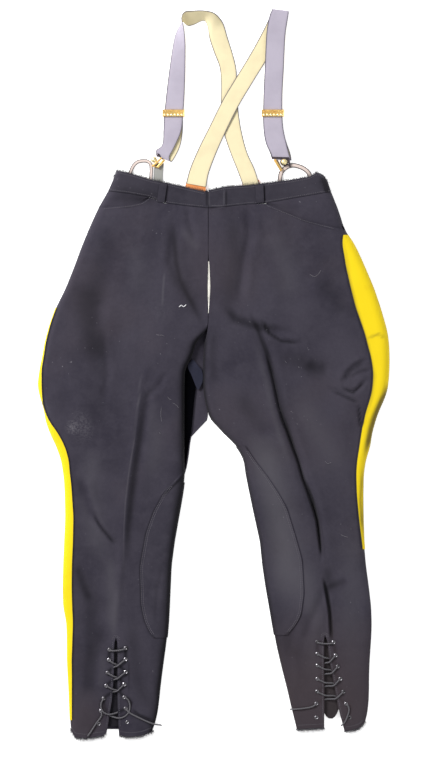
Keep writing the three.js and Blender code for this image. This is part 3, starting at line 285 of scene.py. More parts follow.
# painted shade (-) and painted light (+) of each side, along folds, seams, laces and edges, with a few pale
# lines for stitching: strength, half width, points
SHADES = {
    "right": [
        (0.5, 1.6, ((-137, -2), (-142, -61), (-150, -129), (-160, -194), (-166, -243), (-169, -298),
            (-170, -365))),
        (-0.6, 7, ((-125, -36), (-133, -74), (-140, -129), (-150, -194), (-156, -243), (-162, -298),
            (-163, -355))),
        (-0.22, 26, ((-215, 82), (-218, -13), (-224, -108))),
        (-0.85, 2.6, ((-225, -271), (-217, -287), (-207, -300), (-186, -326))),
        (-0.35, 8, ((-249, -203), (-239, -241), (-224, -283))),
        (-0.35, 13, ((-78, 287), (-74, 234), (-68, 192), (-51, 154), (-25, 104))),
        (-0.4, 5, ((-76, 279), (-70, 211), (-63, 177), (-44, 139), (-19, 93))),
        (0.4, 2.0, ((-92, 192), (-95, 158), (-96, 127))),
        (-0.28, 18, ((-192, 281), (-215, 211), (-226, 120))),
        (-0.45, 8, ((-63, -200), (-70, -279), (-76, -355), (-80, -431), (-84, -507))),
        (-0.35, 7, ((-255, -370), (-245, -403), (-232, -437))),
        (-0.25, 10, ((-211, -479), (-224, -545), (-232, -621))),
        (0.2, 6, ((-182, -412), (-190, -507))),
        (-0.5, 4, ((-17, 78), (-32, 51), (-44, 25), (-51, 13))),
        (-1.0, 1.2, ((-88, 360), (-90, 340), (-92, 321))),
        (-0.5, 1.3, ((-181, 315), (-158, 316), (-135, 322))),
        (-0.3, 9, ((-192, 336), (-162, 331), (-127, 332))),
        (-0.7, 1.8, ((-12, 353), (-12, 315))),
        (0.6, 1.5, ((-99, -231), (-91, -223), (-73, -206), (-55, -187))),
        (-0.75, 2.2, ((-94, -233), (-88, -227), (-70, -209), (-54, -192))),
        (-0.5, 24, ((-245, 177), (-241, 120), (-230, 72), (-218, 21))),
        (-0.35, 15, ((-251, -382), (-230, -439), (-234, -519), (-241, -621))),
        (0.28, 11, ((-196, -348), (-192, -422), (-195, -492))),
        (-0.32, 13, ((-154, -473), (-146, -583), (-122, -638))),
        (-0.35, 8, ((-93, -507), (-103, -621))),
        (0.25, 10, ((-211, -530), (-217, -602))),
        (0.15, 20, ((-154, 245), (-133, 154))),
        (0.25, 8, ((-63, 272), (-44, 253), (-27, 234))),
        (-0.4, 13, ((-184, 348), (-139, 338), (-97, 329))),
        (0.28, 20, ((-230, -139), (-234, -241), (-215, -355))),
        (0.2, 16, ((-120, -51), (-108, -127), (-116, -203))),
        (-0.8, 2.4, ((-163, -617), (-155, -626), (-158, -638))),
        (-0.8, 2.2, ((-154, -639), (-140, -650), (-116, -660))),
        (-0.6, 2.6, ((-165, -520), (-164, -526))),
        (-0.6, 2.6, ((-165, -566), (-164, -576))),
        (-0.6, 2.6, ((-166, -590), (-165, -598))),
        (-0.8, 3.0, ((-207, -621), (-206, -636), (-200, -644))),
        (-0.45, 1.8, ((-160, -545), (-160, -610))),
        (0.35, 1.8, ((-182, -526), (-182, -602), (-180, -674))),
        (0.3, 1.8, ((-190, -526), (-191, -602), (-201, -678))),
    ],
    "left": [
        (0.45, 1.5, ((-8, 350), (-8, 316))),
        (0.4, 1.5, ((-6, 317), (21, 315))),
        (0.45, 1.5, ((21, 348), (21, 317))),
        (-0.8, 2.4, ((260, -629), (261, -642), (256, -657))),
        (0.4, 1.8, ((208, -522), (209, -602), (209, -674))),
        (0.4, 1.8, ((220, -536), (231, -583), (239, -621), (247, -659))),
        (0.6, 30, ((86, -108), (116, -222), (135, -327), (146, -431))),
        (0.28, 24, ((169, -355), (186, -450), (200, -602))),
        (-0.55, 4.5, ((70, 112), (84, 86), (93, 61), (103, 36), (112, -2))),
        (-0.32, 16, ((127, 32), (165, 21), (200, 13))),
        (-0.3, 16, ((203, 177), (230, 146), (251, 112))),
        (-0.45, 8, ((213, -414), (234, -401), (256, -393))),
        (-1.4, 3.0, ((209, -390), (214, -410), (219, -439), (224, -473), (227, -511))),
        (-0.9, 3.6, ((328, -28), (318, -53), (310, -76), (304, -97), (298, -124))),
        (0.2, 20, ((165, -51), (207, -127), (241, -184))),
        (0.2, 22, ((112, 272), (139, 215), (146, 139))),
        (-0.25, 8, ((2, 82), (0, 25), (4, -23))),
        (0.2, 22, ((264, -279), (264, -431), (260, -583))),
        (-0.95, 2.1, LEFT_CREASE[5:]),
        (-0.5, 4.2, LEFT_CREASE[:9]),
        (-0.35, 9, ((104, 25), (118, -17), (133, -66), (144, -112))),
        (0.3, 2.4, ((152, -127), (162, -158), (173, -190), (184, -220))),
        (-0.45, 6, LEFT_CREASE[4:]),
        (-0.9, 2.0, ((177, -207), (189, -239), (199, -284), (206, -348))),
        (0.22, 6, ((82, 53), (101, -10), (112, -66), (127, -120), (146, -173))),
        (-0.35, 13, ((35, 314), (41, 232), (30, 139), (36, 104))),
        (-0.6, 7, ((27, 120), (48, 99), (82, 87), (120, 80))),
        (-0.8, 2.6, ((93, 101), (106, 76), (129, 61), (162, 56))),
        (-0.45, 14, ((177, 21), (196, 6), (217, 10))),
        (-0.55, 5, ((249, -15), (260, 4), (285, 21))),
        (-0.75, 2.4, ((247, -28), (266, -38), (287, -17))),
        (-0.6, 2.6, ((228, -34), (253, -46), (276, -57))),
        (-0.8, 2.0, ((277, -59), (281, -103))),
        (-0.3, 14, ((171, -454), (182, -504))),
        (-0.3, 16, ((133, -496), (160, -540))),
        (-1.0, 2.6, ((217, -412), (222, -450), (225, -507))),
        (-0.35, 10, ((215, -367), (226, -412))),
        (-0.25, 16, ((49, -44), (74, -74), (108, -120))),
        (-1.0, 1.2, ((97, 358), (97, 338), (98, 320))),
        (-0.5, 1.3, ((104, 317), (146, 302), (171, 290), (236, 270))),
        (-0.8, 1.8, ((25, 348), (25, 315))),
        (-0.5, 1.8, ((-10, 314), (25, 313))),
        (-0.4, 6, ((203, 370), (222, 348))),
    ],
}
# the same painted shade on the side stripes
STRIPE_SHADES = {
    "right": [
        (-0.95, 4, ((-323, -52), (-320, -61), (-316, -70))),
        (-0.5, 2, ((-262, -431), (-264, -545), (-266, -650))),
    ],
    "left": [
        (-1.3, 5, ((331, -23), (325, -42), (314, -65), (306, -84), (300, -104), (295, -127),
            (289, -152))),
        (-0.6, 2.5, ((283, -184), (279, -241), (282, -298))),
        (-0.55, 3, ((291, -150), (287, -203), (284, -279), (287, -327))),
        (-0.4, 3, ((247, 256), (258, 186), (272, 124), (294, 53), (306, -6), (300, -51), (285, -99))),
        (-0.5, 2.5, ((294, 66), (314, 74), (325, 66))),
    ],
}
STRAP_A = [
    (-93.5, 494, 3, -57.4, 494, 3), (-92, 465.5, 3, -57.8, 459.8, 3), (-94, 437, 3, -61.2, 437, 3),
    (-99.8, 423.7, 3, -67.5, 419.9, 3), (-107.5, 413.8, 5, -79.5, 402, 5),
    (-108, 424, 7, -83, 409.8, 7), (-97.4, 432.5, 7, -74.5, 428, 7),
    (-94.2, 464.2, 7, -60.4, 460.6, 7), (-93.1, 488.3, 7, -57, 488.3, 7),
    (-90.2, 519.6, 6.6, -54.1, 531, 6.6), (-82.5, 582.7, 5, -52.4, 590.9, 9),
    (-72, 642.2, 3.2, -52.8, 632, 22), (-63.6, 661, 2.6, -55.5, 655, 30),
    (-57.9, 668, 2.4, -59.7, 674.5, 31), (-47.5, 661.2, 2.2, -54.1, 684.8, 28),
    (-38, 662.7, 1.8, -39.9, 687, 26), (-16.3, 670.9, 1.6, -15.2, 687.2, 26),
    (-10.4, 659.3, 1.6, 3.2, 682.9, 22), (-6.8, 636.5, 1.4, 18.4, 667.7, 7),
    (2.7, 608, 1.1, 27.7, 639.4, 1.6), (12.3, 582.7, 1, 37, 609.9, 1),
    (15.2, 551.2, 1, 44.3, 579.5, 1), (14.8, 513.4, 1, 46, 537.7, 1), (16.1, 480.7, 1, 48.4, 499.7, 1),
    (23.2, 447.3, 1, 54.1, 461.7, 1), (34.2, 415.7, 1.2, 65.5, 418.8, 1.2),
    (46.7, 384.2, 3.4, 78.8, 389.5, 3.4), (57.5, 355, 5.2, 88.5, 359, 5.2),
]
STRAP_B = [
    (95.6, 494, 3, 131.9, 494, 3), (95.9, 465.5, 3, 133.4, 465.5, 3), (100.7, 437, 3, 140.6, 437, 3),
    (108.3, 419, 3, 147.2, 418, 3), (112.1, 407.5, 5, 149.2, 404.7, 5),
    (110.2, 416.2, 7, 145.9, 413.3, 7), (100.3, 437.8, 7, 139.7, 437.8, 7),
    (95.6, 469.3, 7, 133.4, 469.3, 7), (95.6, 519.6, 7, 131.9, 519.6, 7),
    (98.8, 589, 7.4, 134.9, 582.7, 7.4), (102.6, 655.1, 8, 138.1, 645.6, 8),
    (108.3, 682.1, 8, 142.1, 672.6, 8), (112.9, 692.5, 5.2, 144.4, 688.8, 5.2),
    (104.5, 670.7, 2.6, 134.9, 654, 2.6), (76.8, 617.5, 1.4, 104.5, 600.4, 1.4),
    (46.7, 567, 3.6, 78.3, 557.5, 3.6), (18.4, 519.6, 4.2, 48.3, 507.3, 4.2),
    (-6.8, 469.3, 3.2, 23.2, 456.6, 3.2), (-28.9, 425, 2, 3.8, 412.3, 2),
    (-44.6, 387.2, 3.4, -8.4, 378.1, 3.4), (-51.5, 361, 5.2, -12.5, 354, 5.2),
]
RUN_A = [
    (-160, 362), (-156.5, 384), (-150.5, 396), (-143.4, 402), (-134.9, 403.8), (-126.4, 403.6),
    (-119.6, 399), (-117.6, 387), (-118.2, 374.3), (-119.5, 352),
]
RUN_B = [
    (125.6, 350), (127, 367), (129.5, 380.5), (136.5, 389.5), (145.4, 394.2), (154, 395.4),
    (163.5, 393.3), (173.9, 388.5), (182.4, 380), (186.4, 363),
]
TAPE = [
    (-102.4, 400, 3.35), (-103.6, 382, 2.9), (-104.8, 366, 2.7), (-106, 350, 2.7),
]
TAB_A = [
    (56.5, 363, 3.1, 88, 368, 3.1), (58, 350, 3.1, 89, 350, 3.1), (66, 336, 3.1, 84, 336, 3.1),
]
TAB_B = [
    (-51.8, 363, 3.1, -13.5, 356, 3.1), (-51.5, 345, 3.1, -16, 337, 3.1),
    (-44, 330, 3.1, -27, 325, 3.1),
]


def down(x, y, lean):
    """Way of a lace down through the eyelet at x, y; above the cloth it leans to one side."""
    return [(x + 1.8 * lean, y - 1.4, 15.9), (x + 0.1 * lean, y - 0.1, 14.1), (x, y, 12.1), (x, y, 9.1)]


def up(x, y, lean):
    return down(x, y, lean)[::-1]


# routes of the laces, free ends included
LACE_RIGHT = [
    (-239, -689.7, 12.8), (-234, -682.7, 13), (-223, -665.7, 13.4), (-212, -649.7, 13.7),
    (-213.2, -645.2, 15.4), (-213.9, -642.5, 13.6), (-214, -642.3, 11.6), (-214, -642.3, 8.6),
    (-207, -645.7, 8.6), (-200, -650.2, 8.6), (-179.5, -655.7, 13.5), (-169, -652.7, 13.5),
    (-160.5, -643.7, 13.6), (-159, -629.7, 13.6), (-162, -620.7, 13.7), (-166.4, -617.3, 14.9),
    (-169.1, -616.4, 13.7), (-169.7, -616.3, 11.8), (-169.7, -616.3, 8.8), (-176, -609.1, 9),
    (-182.6, -603.2, 9), (-191.5, -601.2, 14.3), (-197.2, -597.7, 14.4), *down(-204, -594.2, 1),
    (-197.2, -587.9, 9), (-190.3, -582.7, 9), (-182.6, -580.7, 14.3), (-175.5, -574.4, 14.4),
    *down(-167, -568.2, -1), (-174.7, -560.5, 9), (-182.6, -554.2, 9), (-189.5, -552.2, 14.3),
    (-193.9, -548.7, 14.4), *down(-199, -545.2, 1), (-198.5, -535.4, 9), *up(-198, -525.7, 1),
    (-182.5, -527.2, 15.1), *down(-167, -522.7, -1), (-167.3, -533.4, 9), *up(-167.5, -544.2, -1),
    (-175.7, -550.4, 14.4), (-182.6, -556.7, 14.3), (-189.6, -558.7, 9), (-195.6, -563.6, 9),
    *up(-201.5, -569.7, 1), (-195.2, -573.2, 14.4), (-189.9, -576.7, 14.3), (-182.6, -578.7, 9),
    (-176.1, -584.5, 9), *up(-169.7, -591.7, -1), (-176.7, -597.9, 14.3), (-182.6, -604.2, 14.2),
    (-192, -606.2, 8.9), (-200.6, -611.8, 8.9), (-209, -618.7, 8.7), (-209, -618.7, 11.7),
    (-208.9, -618.8, 13.7), (-210.3, -620.6, 14.8), (-212.5, -623.7, 13.6), (-214.5, -631.7, 14.2),
    (-210.5, -643.2, 15.2), (-200.5, -648.7, 13.6), (-179.5, -644.2, 8.6), (-173, -640.7, 8.6),
    (-167, -637.7, 8.6), (-167, -637.7, 11.6), (-166.8, -637.9, 13.6), (-165, -640, 15.4),
    (-161, -644.7, 13.7), (-141, -655.2, 13.6), (-126, -662.2, 13.6), (-116, -666.2, 11.8),
    (-108.8, -668.5, 8.5), (-105, -669.5, 3.4), (-99, -670.2, 1.5),
]
LACE_LEFT = [
    (145.6, -639.5, 5), (147, -639.3, 8.6), (152.5, -638.9, 12), (162, -638, 13.5), (174, -636.7, 13.5),
    (189, -633.7, 13.6), (193.2, -630.1, 15.4), (195.3, -628.3, 13.6), (195.5, -628.2, 11.6),
    (195.5, -628.2, 8.6), (203, -623.8, 8.7), (210.7, -620.2, 8.7), (233.6, -618.2, 14),
    (239.8, -611.9, 14.1), *down(247, -605.7, -1), (237.9, -597.1, 9), (228.7, -590.1, 9),
    (210.6, -588.1, 14.3), (204.5, -584.6, 14.4), *down(197.3, -581.1, 1), (203.8, -576.2, 9),
    (210.4, -572.2, 9), (224.9, -570.2, 14.3), (230.2, -563.9, 14.4), *down(236.5, -557.7, -1),
    (228.3, -549.4, 9), (220, -542.7, 9), (210.2, -540.7, 14.3), (204.3, -537.2, 14.4),
    *down(197.3, -533.7, 1), (197.2, -522.2, 9), *up(197, -510.7, 1), (212.5, -514.2, 15.1),
    *down(228, -511.7, -1), (230, -524.2, 9), *up(232, -536.7, -1), (225.9, -542.9, 14.4),
    (220.7, -549.2, 14.3), (210.2, -551.2, 9), (204, -553.2, 9), *up(197.9, -555.7, 1),
    (204.6, -559.2, 14.4), (210.3, -562.7, 14.3), (223.8, -564.7, 9), (232.5, -572.1, 9),
    *up(241, -581.1, -1), (234.7, -587.3, 14.4), (229.3, -593.6, 14.3), (210.6, -595.6, 9),
    (203.6, -599.9, 9), *up(196.8, -605.2, 1), (204.3, -608.7, 14.2), (210.7, -612.2, 14.1),
    (233, -614.2, 8.8), (242.6, -620.7, 8.8), (252, -628.7, 8.6), (252, -628.7, 11.6),
    (252.2, -628.8, 13.6), (254.1, -630.8, 15.4), (257, -633.7, 13.7), (257.5, -642.7, 13.4),
    (253.5, -654.7, 13.1), (249.5, -663.7, 13.1), (245.2, -668.2, 12.4), (242.5, -670.7, 9.4),
]
LACES = {"right": LACE_RIGHT, "left": LACE_LEFT}
# painted shadow: a near-black strip in the slot beside the right front, and the gusset at the fork: two edges
SLOT_SHADOW_ROWS = [
    (-54, 15, 4.8, -48, 15, 4.8), (-54, -10, 4.8, -38, -8, 4.8), (-54, -23, 4.8, -33, -23, 4.8),
    (-54, -51, 4.8, -35.5, -51, 4.8), (-54, -108, 4.8, -41, -108, 4.8), (-54, -156, 4.8, -46, -156, 4.8),
    (-54, -182, 4.8, -50.5, -182, 4.8),
]
GUSSET_ROWS = [
    (-40, 25, 6.4, -37, 25, 7), (-48, 13, 6.2, -27.5, 13, 9), (-41, -4, 6.2, -20.5, 3, 9.5),
    (-34, -22, 6.2, -20, -16, 9), (-30, -31, 6, -27, -31, 6.4),
]
# loose threads: leg, radius, points
THREADS = [
    (RIGHT, 0.8, ((-64, 125.5), (-60, 128.5), (-56, 126), (-51, 129.5))),
    (RIGHT, 0.3, ((-101, 71), (-97, 72), (-93, 70))),
    (RIGHT, 0.3, ((-86, -45), (-83, -49), (-79, -51))),
    (RIGHT, 0.26, ((-76, -57), (-71, -60), (-65, -66))),
    (RIGHT, 0.4, ((-102, -113), (-101, -114), (-100, -116))),
    (RIGHT, 0.3, ((-98, -66), (-99, -80), (-97, -92))),
    (LEFT, 0.3, ((184, 187), (193, 183), (200, 188), (205, 195))),
    (LEFT, 0.3, ((213, -168), (218, -172), (224, -170))),
    (LEFT, 0.3, ((243, -307), (249, -310), (256, -312))),
    (LEFT, 0.26, ((137, 22), (138, 21), (139, 19))),
]
# painted shade at the turn of the inseam, near and wide, and the back hem: level, rise and where it rises
INSEAM_SHADE_STRENGTH = {"right": (0.95, 0.42), "left": (0.75, 0.2)}
BACK_HEM = {"right": (-680, 0, 0), "left": (-673, 31, 229)}


# ---- reading the tables ----
def at(table, t, column=1):
    """Column of a table at the levels t, which may be an array."""
    rows = np.array([row[: column + 1] for row in table], float)
    if rows[0, 0] > rows[-1, 0]:
        rows = rows[::-1]
    return np.interp(t, rows[:, 0], rows[:, column])


def eased(table, t, column=1):
    """The same, with the corners between the levels rounded off."""
    steps = np.array([-1.0, -0.5, 0.0, 0.5, 1.0]) * EASE_REACH
    return sum(at(table, t + step, column) for step in steps) / len(steps)


def quarter(s):
    """Rise of a quarter circle: 0 at s = 0, and 1 from s = 1 on."""
    return np.sqrt(np.clip(1 - (1 - np.clip(s, 0, 1)) ** 2, 0, 1))


def lerp(a, b, s):
    """Value at the share s of the way from a to b."""
    return a + (b - a) * s


def bell(d, width):
    """1 at no distance, falling off over the width."""
    return np.exp(-((d / width) ** 2))


def line_distance(points, x, y):
    """Distance to a line of points, the side that x, y lie on, and the share of the line passed."""
    best = np.full(np.shape(x), 1e9)
    side, share = np.zeros(np.shape(x)), np.zeros(np.shape(x))
    lengths = [math.dist(a, b) for a, b in zip(points, points[1:])]
    done, whole = 0.0, sum(lengths)
    for (ax, ay), (bx, by), length in zip(points, points[1:], lengths):
        dx, dy = bx - ax, by - ay
        s = np.clip(((x - ax) * dx + (y - ay) * dy) / (dx * dx + dy * dy), 0, 1)
        ex, ey = x - ax - s * dx, y - ay - s * dy
        d = np.hypot(ex, ey)
        nearer = d < best
        best = np.where(nearer, d, best)
        side = np.where(nearer, np.sign(dx * ey - dy * ex), side)
        share = np.where(nearer, (done + s * length) / whole, share)
        done += length
    return best, side, share


def fade(share):
    """Full strength along a line, and less towards its ends."""
    return np.clip(np.minimum(share, 1 - share) * 5 + 0.12, 0, 1) ** 0.8


# waves of worn cloth, three of each length: length and height
WAVES = ((170, 0.9), (120, 0.7), (85, 0.5), (60, 0.35), (42, 0.2), (30, 0.12))
RIPPLES = [
    (2 * math.pi / length, *rng.uniform(-1, 1, 2), rng.uniform(0, 6.28), height)
    for length, height in WAVES
    for _ in range(3)
]


def ripple(x, y):
    """Slow unevenness of cloth that has been worn and folded away."""
    z = 0
    for k, cx, cy, phase, height in RIPPLES:
        size = math.hypot(cx, cy) or 1
        z = z + height * np.sin(k * (x * cx + y * cy * 0.6) / size + phase)
    return z


def fold_height(leg, x, y):
    """Height that the creases and ripples add to a leg's plain form."""
    z = 0.5 * ripple(x, y)
    for depth, width, ridge, points in FOLDS[leg["name"]]:
        d, sign, share = line_distance(points, x, y)
        strength = fade(share)
        z = z - depth * strength * bell(d, width)
        lean = np.where(sign * np.sign(ridge) > 0, 1.0, 0.3)
        z = z + abs(ridge) * strength * bell(d - 1.8 * width, width) * lean
    return z


def painted_shade_at(leg, x, y, table):
    """Painted shade from -1, dark, to painted light at 1, at places on a leg."""
    tone = np.zeros(np.shape(x))
    for amount, width, points in table[leg["name"]]:
        d, _, share = line_distance(points, x, y)
        tone = tone + amount * fade(share) * bell(d, width)
    return tone


def cloth_painted_shade(leg, x, y):
    """Painted shade and light on a leg's cloth: along its folds, at the turn of the inseam, and as painted
    shadow beside what lies on it.
    """
    inner = np.abs(x - eased(leg["rows"], y, INNER))
    close, wide = INSEAM_SHADE_STRENGTH[leg["name"]]
    # painted shade where the cloth turns under at the inseam, close and wide
    inseam_shade = at(leg["rows"], y, ROLL) * (close * bell(inner, 5) + wide * bell(inner, 15))
    sewn, _, _ = line_distance([(row[1], row[0]) for row in leg["patch"]], x, y)
    laced, _, _ = line_distance(lace_on(leg), x, y)
    hi, lo = leg["stripeRows"]
    beside = np.abs(eased(leg["rows"], y, OUTER) - x) - eased(leg["rows"], y, STRIPE)
    # painted shadow beside the patch seam, round the laces and beside the stripe
    dark = 0.5 * bell(sewn, 1.7) + 0.85 * bell(laced, 3.6)
    dark = dark + 0.95 * bell(beside, 2.6) * (y < hi) * (y > lo)
    return np.clip(painted_shade_at(leg, x, y, SHADES) - inseam_shade - dark, -1, 1)


def lace_on(leg):
    """Places of a leg's lace seen from above."""
    points = LACES[leg["name"]]
    return [
        (a[0] - OFFSET[0], a[1] - OFFSET[1])
        for a, b in zip(points, points[1:])
        if math.dist(a[:2], b[:2]) > 0.5
    ]


def upper(leg, x, y):
    """Height of the upper cloth of a leg."""
    d_out = np.maximum(0, (eased(leg["rows"], y, OUTER) - x) * leg["dir"])
    d_in = np.maximum(0, (x - eased(leg["rows"], y, INNER)) * leg["dir"])
    h = at(leg["rows"], y, LOFT)
    roll = at(leg["rows"], y, ROLL)
    rounded = quarter(d_out / CURL) * (1 - roll * (1 - quarter(d_in / CURL)))
    soft = np.minimum(1, d_out / (2 * CURL)) * np.minimum(1, 1 - roll + d_in / (2 * CURL))
    return EDGE + (h - EDGE) * rounded + fold_height(leg, x, y) * soft


def on_leg(leg, x, y, lift=0.0):
    """Points on the upper cloth, lifted along its normal."""
    x, y = np.asarray(x, float), np.asarray(y, float)
    z = upper(leg, x, y)
    e = 1.0
    gx = (upper(leg, x + e, y) - upper(leg, x - e, y)) / (2 * e)
    gy = (upper(leg, x, y + e) - upper(leg, x, y - e)) / (2 * e)
    n = np.stack([-gx, -gy, np.ones_like(z)], -1)
    n /= np.linalg.norm(n, axis=-1, keepdims=True)
    return np.stack([x, y, z], -1) + n * lift


def level_row(leg, xs, y, drop=0.0):
    """Points of the upper cloth at xs on one level, or of what lies that far under it."""
    ys = np.full(xs.shape, y)
    return np.stack([xs, ys, upper(leg, xs, ys) - drop], -1)


def run_along(path):
    """Distance from the start of a line to each of its points."""
    return np.concatenate([[0], np.cumsum(np.linalg.norm(np.diff(path, axis=0), axis=-1))])


# ---- meshes ----
def finish_piece(obj, nodes=(), smooth=40):
    """Smooth shading, its body and the solids it stands for."""
    select_only(obj)
    bpy.ops.object.shade_smooth_by_angle(angle=math.radians(smooth))
    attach(obj, "root")
    if nodes:
        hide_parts(*nodes)
    return obj


def select_only(obj):
    bpy.ops.object.select_all(action="DESELECT")
    obj.select_set(True)
    bpy.context.view_layer.objects.active = obj


@contextmanager
def editing(obj):
    """Edit mode on one object with its whole mesh selected."""
    select_only(obj)
    bpy.ops.object.mode_set(mode="EDIT")
    bpy.ops.mesh.select_all(action="SELECT")
    yield
    bpy.ops.object.mode_set(mode="OBJECT")


def mesh_object(name, points, faces, material, uv=None, shade_paint=None):
    """A mesh from points in millimetres before the offset."""
    mesh = bpy.data.meshes.new(name)
    place = (np.asarray(points, float).reshape(-1, 3) + OFFSET) * MM
    mesh.from_pydata(place.tolist(), [], [tuple(int(i) for i in f) for f in faces])
    mesh.update()
    if uv is not None:
        flat = np.asarray(uv, float).reshape(-1, 2) * MM
        loops = np.zeros(len(mesh.loops), int)
        mesh.loops.foreach_get("vertex_index", loops)
        layer = mesh.uv_layers.new(name="cloth")
        layer.data.foreach_set("uv", flat[loops].astype(np.float32).ravel())
    # painted shade and light of each point, kept as an attribute for the materials
    if shade_paint is not None:
        layer = mesh.attributes.new("shade_paint", "FLOAT", "POINT")
        layer.data.foreach_set("value", np.asarray(shade_paint, np.float32).ravel())
    mesh.materials.append(material)
    obj = bpy.data.objects.new(name, mesh)
    bpy.context.scene.collection.objects.link(obj)
    return obj


def grid_faces(rows, cols):
    """Four-sided faces between the points of a grid."""
    r, c = np.meshgrid(np.arange(rows - 1), np.arange(cols - 1), indexing="ij")
    a = (r * cols + c).ravel()
    return np.stack([a, a + 1, a + cols + 1, a + cols], -1)


def faces_up(points, faces, up):
    """The faces turned so that most of them look up, or down."""
    p = np.asarray(points, float).reshape(-1, 3)
    f = np.asarray([g[:4] for g in faces])
    n = np.cross(p[f[:, 2]] - p[f[:, 0]], p[f[:, 3]] - p[f[:, 1]])
    return faces if (n[:, 2].sum() > 0) == up else [tuple(g)[::-1] for g in faces]


def thicken(obj, wall):
    """Turns a surface into a wall that grows away from its outside."""
    select_only(obj)
    modifier = obj.modifiers.new("wall", "SOLIDIFY")
    modifier.thickness = wall * MM
    modifier.offset = -1
    bpy.ops.object.modifier_apply(modifier="wall")


def lifted(grid, distance):
    """A grid moved up along its normals."""
    n = np.cross(np.gradient(grid, axis=1), np.gradient(grid, axis=0))
    n /= np.maximum(np.linalg.norm(n, axis=-1, keepdims=True), 1e-9)
    if n[..., 2].mean() <= 0:
        n = -n
    return grid + n * distance


def run_lengths(grid, start):
    """Distance along each row from one of its columns, and along the rows."""
    step = np.linalg.norm(np.diff(grid, axis=1), axis=-1)
    u = np.concatenate([np.zeros((len(grid), 1)), np.cumsum(step, 1)], 1)
    u = u - u[:, start : start + 1]
    return np.stack([u, grid[..., 1]], -1)


def cloth_grid(name, grid, wall, material, nodes, up=True, start=0, shade_paint=None):
    """One cut piece of cloth from a grid of points on its outside."""
    faces = faces_up(grid, grid_faces(*grid.shape[:2]), up)
    obj = mesh_object(name, grid, faces, material, run_lengths(grid, start), shade_paint)
    thicken(obj, wall)
    finish_piece(obj, nodes)
    return obj


# ---- front panels ----
def spread(stops, step):
    """Stops with others between them, no further apart than step."""
    out = [stops[0]]
    for a, b in zip(stops, stops[1:]):
        n = max(1, math.ceil(abs(b - a) / step))
        out.extend(a + (b - a) * (i + 1) / n for i in range(n))
    return out


def front_levels(leg):
    """Levels of a front: base height, blend and the curve that it blends to."""
    levels = [(FRONT_TOP, b, leg["pocket"]) for b in np.linspace(1, 0, 34)[:-1]]
    levels += [(y, 0.0, leg["hem"]) for y in spread([FRONT_TOP, leg["slitTop"], FRONT_LOW], FRONT_STEP)]
    levels += [(FRONT_LOW, b, leg["hem"]) for b in np.linspace(0, 1, 10)[1:]]
    return levels


# distances from a folded edge at which its rounding has points
ROLL_STEPS = [0, 0.5, 1.4, 2.8, 4.8, 7.4, 10.6, CURL]


def front_row(leg, base, b, curve):
    """One row of a front panel as two runs: side edge to crease, crease to inseam."""
    d = leg["dir"]
    low, high = curve[0][1], curve[-1][1]
    yo = lerp(base, high if d > 0 else low, b)
    yi = lerp(base, low if d > 0 else high, b)
    yc = lerp(base, float(at(curve, at(leg["rows"], base, CREASE))), b)
    xo = float(eased(leg["rows"], yo, OUTER))
    xi = float(eased(leg["rows"], yi, INNER))
    oc = ic = float(eased(leg["rows"], yc, CREASE))
    if base < leg["slitTop"]:
        oc = float(at(leg["slit"], yc, 1 if d < 0 else 2))
        ic = float(at(leg["slit"], yc, 2 if d < 0 else 1))
    edge = [xo - d * s for s in ROLL_STEPS]
    outer = edge + [lerp(edge[-1], oc, s) for s in np.linspace(0, 1, OUTER_COUNT)[1:]]
    rim = [xi + d * s for s in ROLL_STEPS[::-1]]
    inner = [lerp(ic, rim[0], s) for s in np.linspace(0, 1, INNER_COUNT)[:-1]] + rim
    return [(xs, lerp(base, at(curve, xs), b)) for xs in (np.array(outer), np.array(inner))]


def front_panel(leg, material):
    """Upper wall of a leg, with its vent and the holes for the eyelets."""
    outer, inner = [], []
    for base, b, curve in front_levels(leg):
        for part, (xs, ys) in zip((outer, inner), front_row(leg, base, b, curve)):
            part.append(np.stack([xs, ys, upper(leg, xs, ys)], -1))
    outer, inner = np.array(outer), np.array(inner)
    first = grid_faces(*outer.shape[:2])
    second = grid_faces(*inner.shape[:2]) + outer.shape[0] * outer.shape[1]
    points = np.concatenate([outer.reshape(-1, 3), inner.reshape(-1, 3)])
    faces = np.array(faces_up(points, np.concatenate([first, second]), True))
    holes = np.array(leg["eyeletsA"] + leg["eyeletsB"], float)
    away = np.linalg.norm(points[faces].mean(1)[:, None, :2] - holes[None], axis=-1).min(1)
    runs = (run_lengths(outer, outer.shape[1] - 1), run_lengths(inner, 0))
    uv = np.concatenate([run.reshape(-1, 2) for run in runs])
    # painted shade and light of the front's points
    shade_paint = cloth_painted_shade(leg, points[:, 0], points[:, 1])
    obj = mesh_object("front_" + leg["name"], points, faces[away > EYELET_HOLE], material, uv, shade_paint)
    with editing(obj):
        bpy.ops.mesh.remove_doubles(threshold=0.02 * MM)
        bpy.ops.mesh.delete_loose()
    thicken(obj, WALL)
    finish_piece(obj, ["front_panel_" + leg["name"]])


# ---- back panels ----
def lower_height(x, xo, xi, roll):
    """Height of a back's cloth, which lies on the floor and curls up at its edges."""
    d_out, d_in = np.abs(xo - x), np.abs(x - xi)
    rounded = quarter(d_out / BACK_CURL) * (1 - roll * (1 - quarter(d_in / BACK_CURL)))
    return (EDGE - BACK_GAP) * (1 - rounded)


BACK_ROLL = [0, 0.4, 1.0, 2.0, 3.5, 6.0, BACK_CURL]


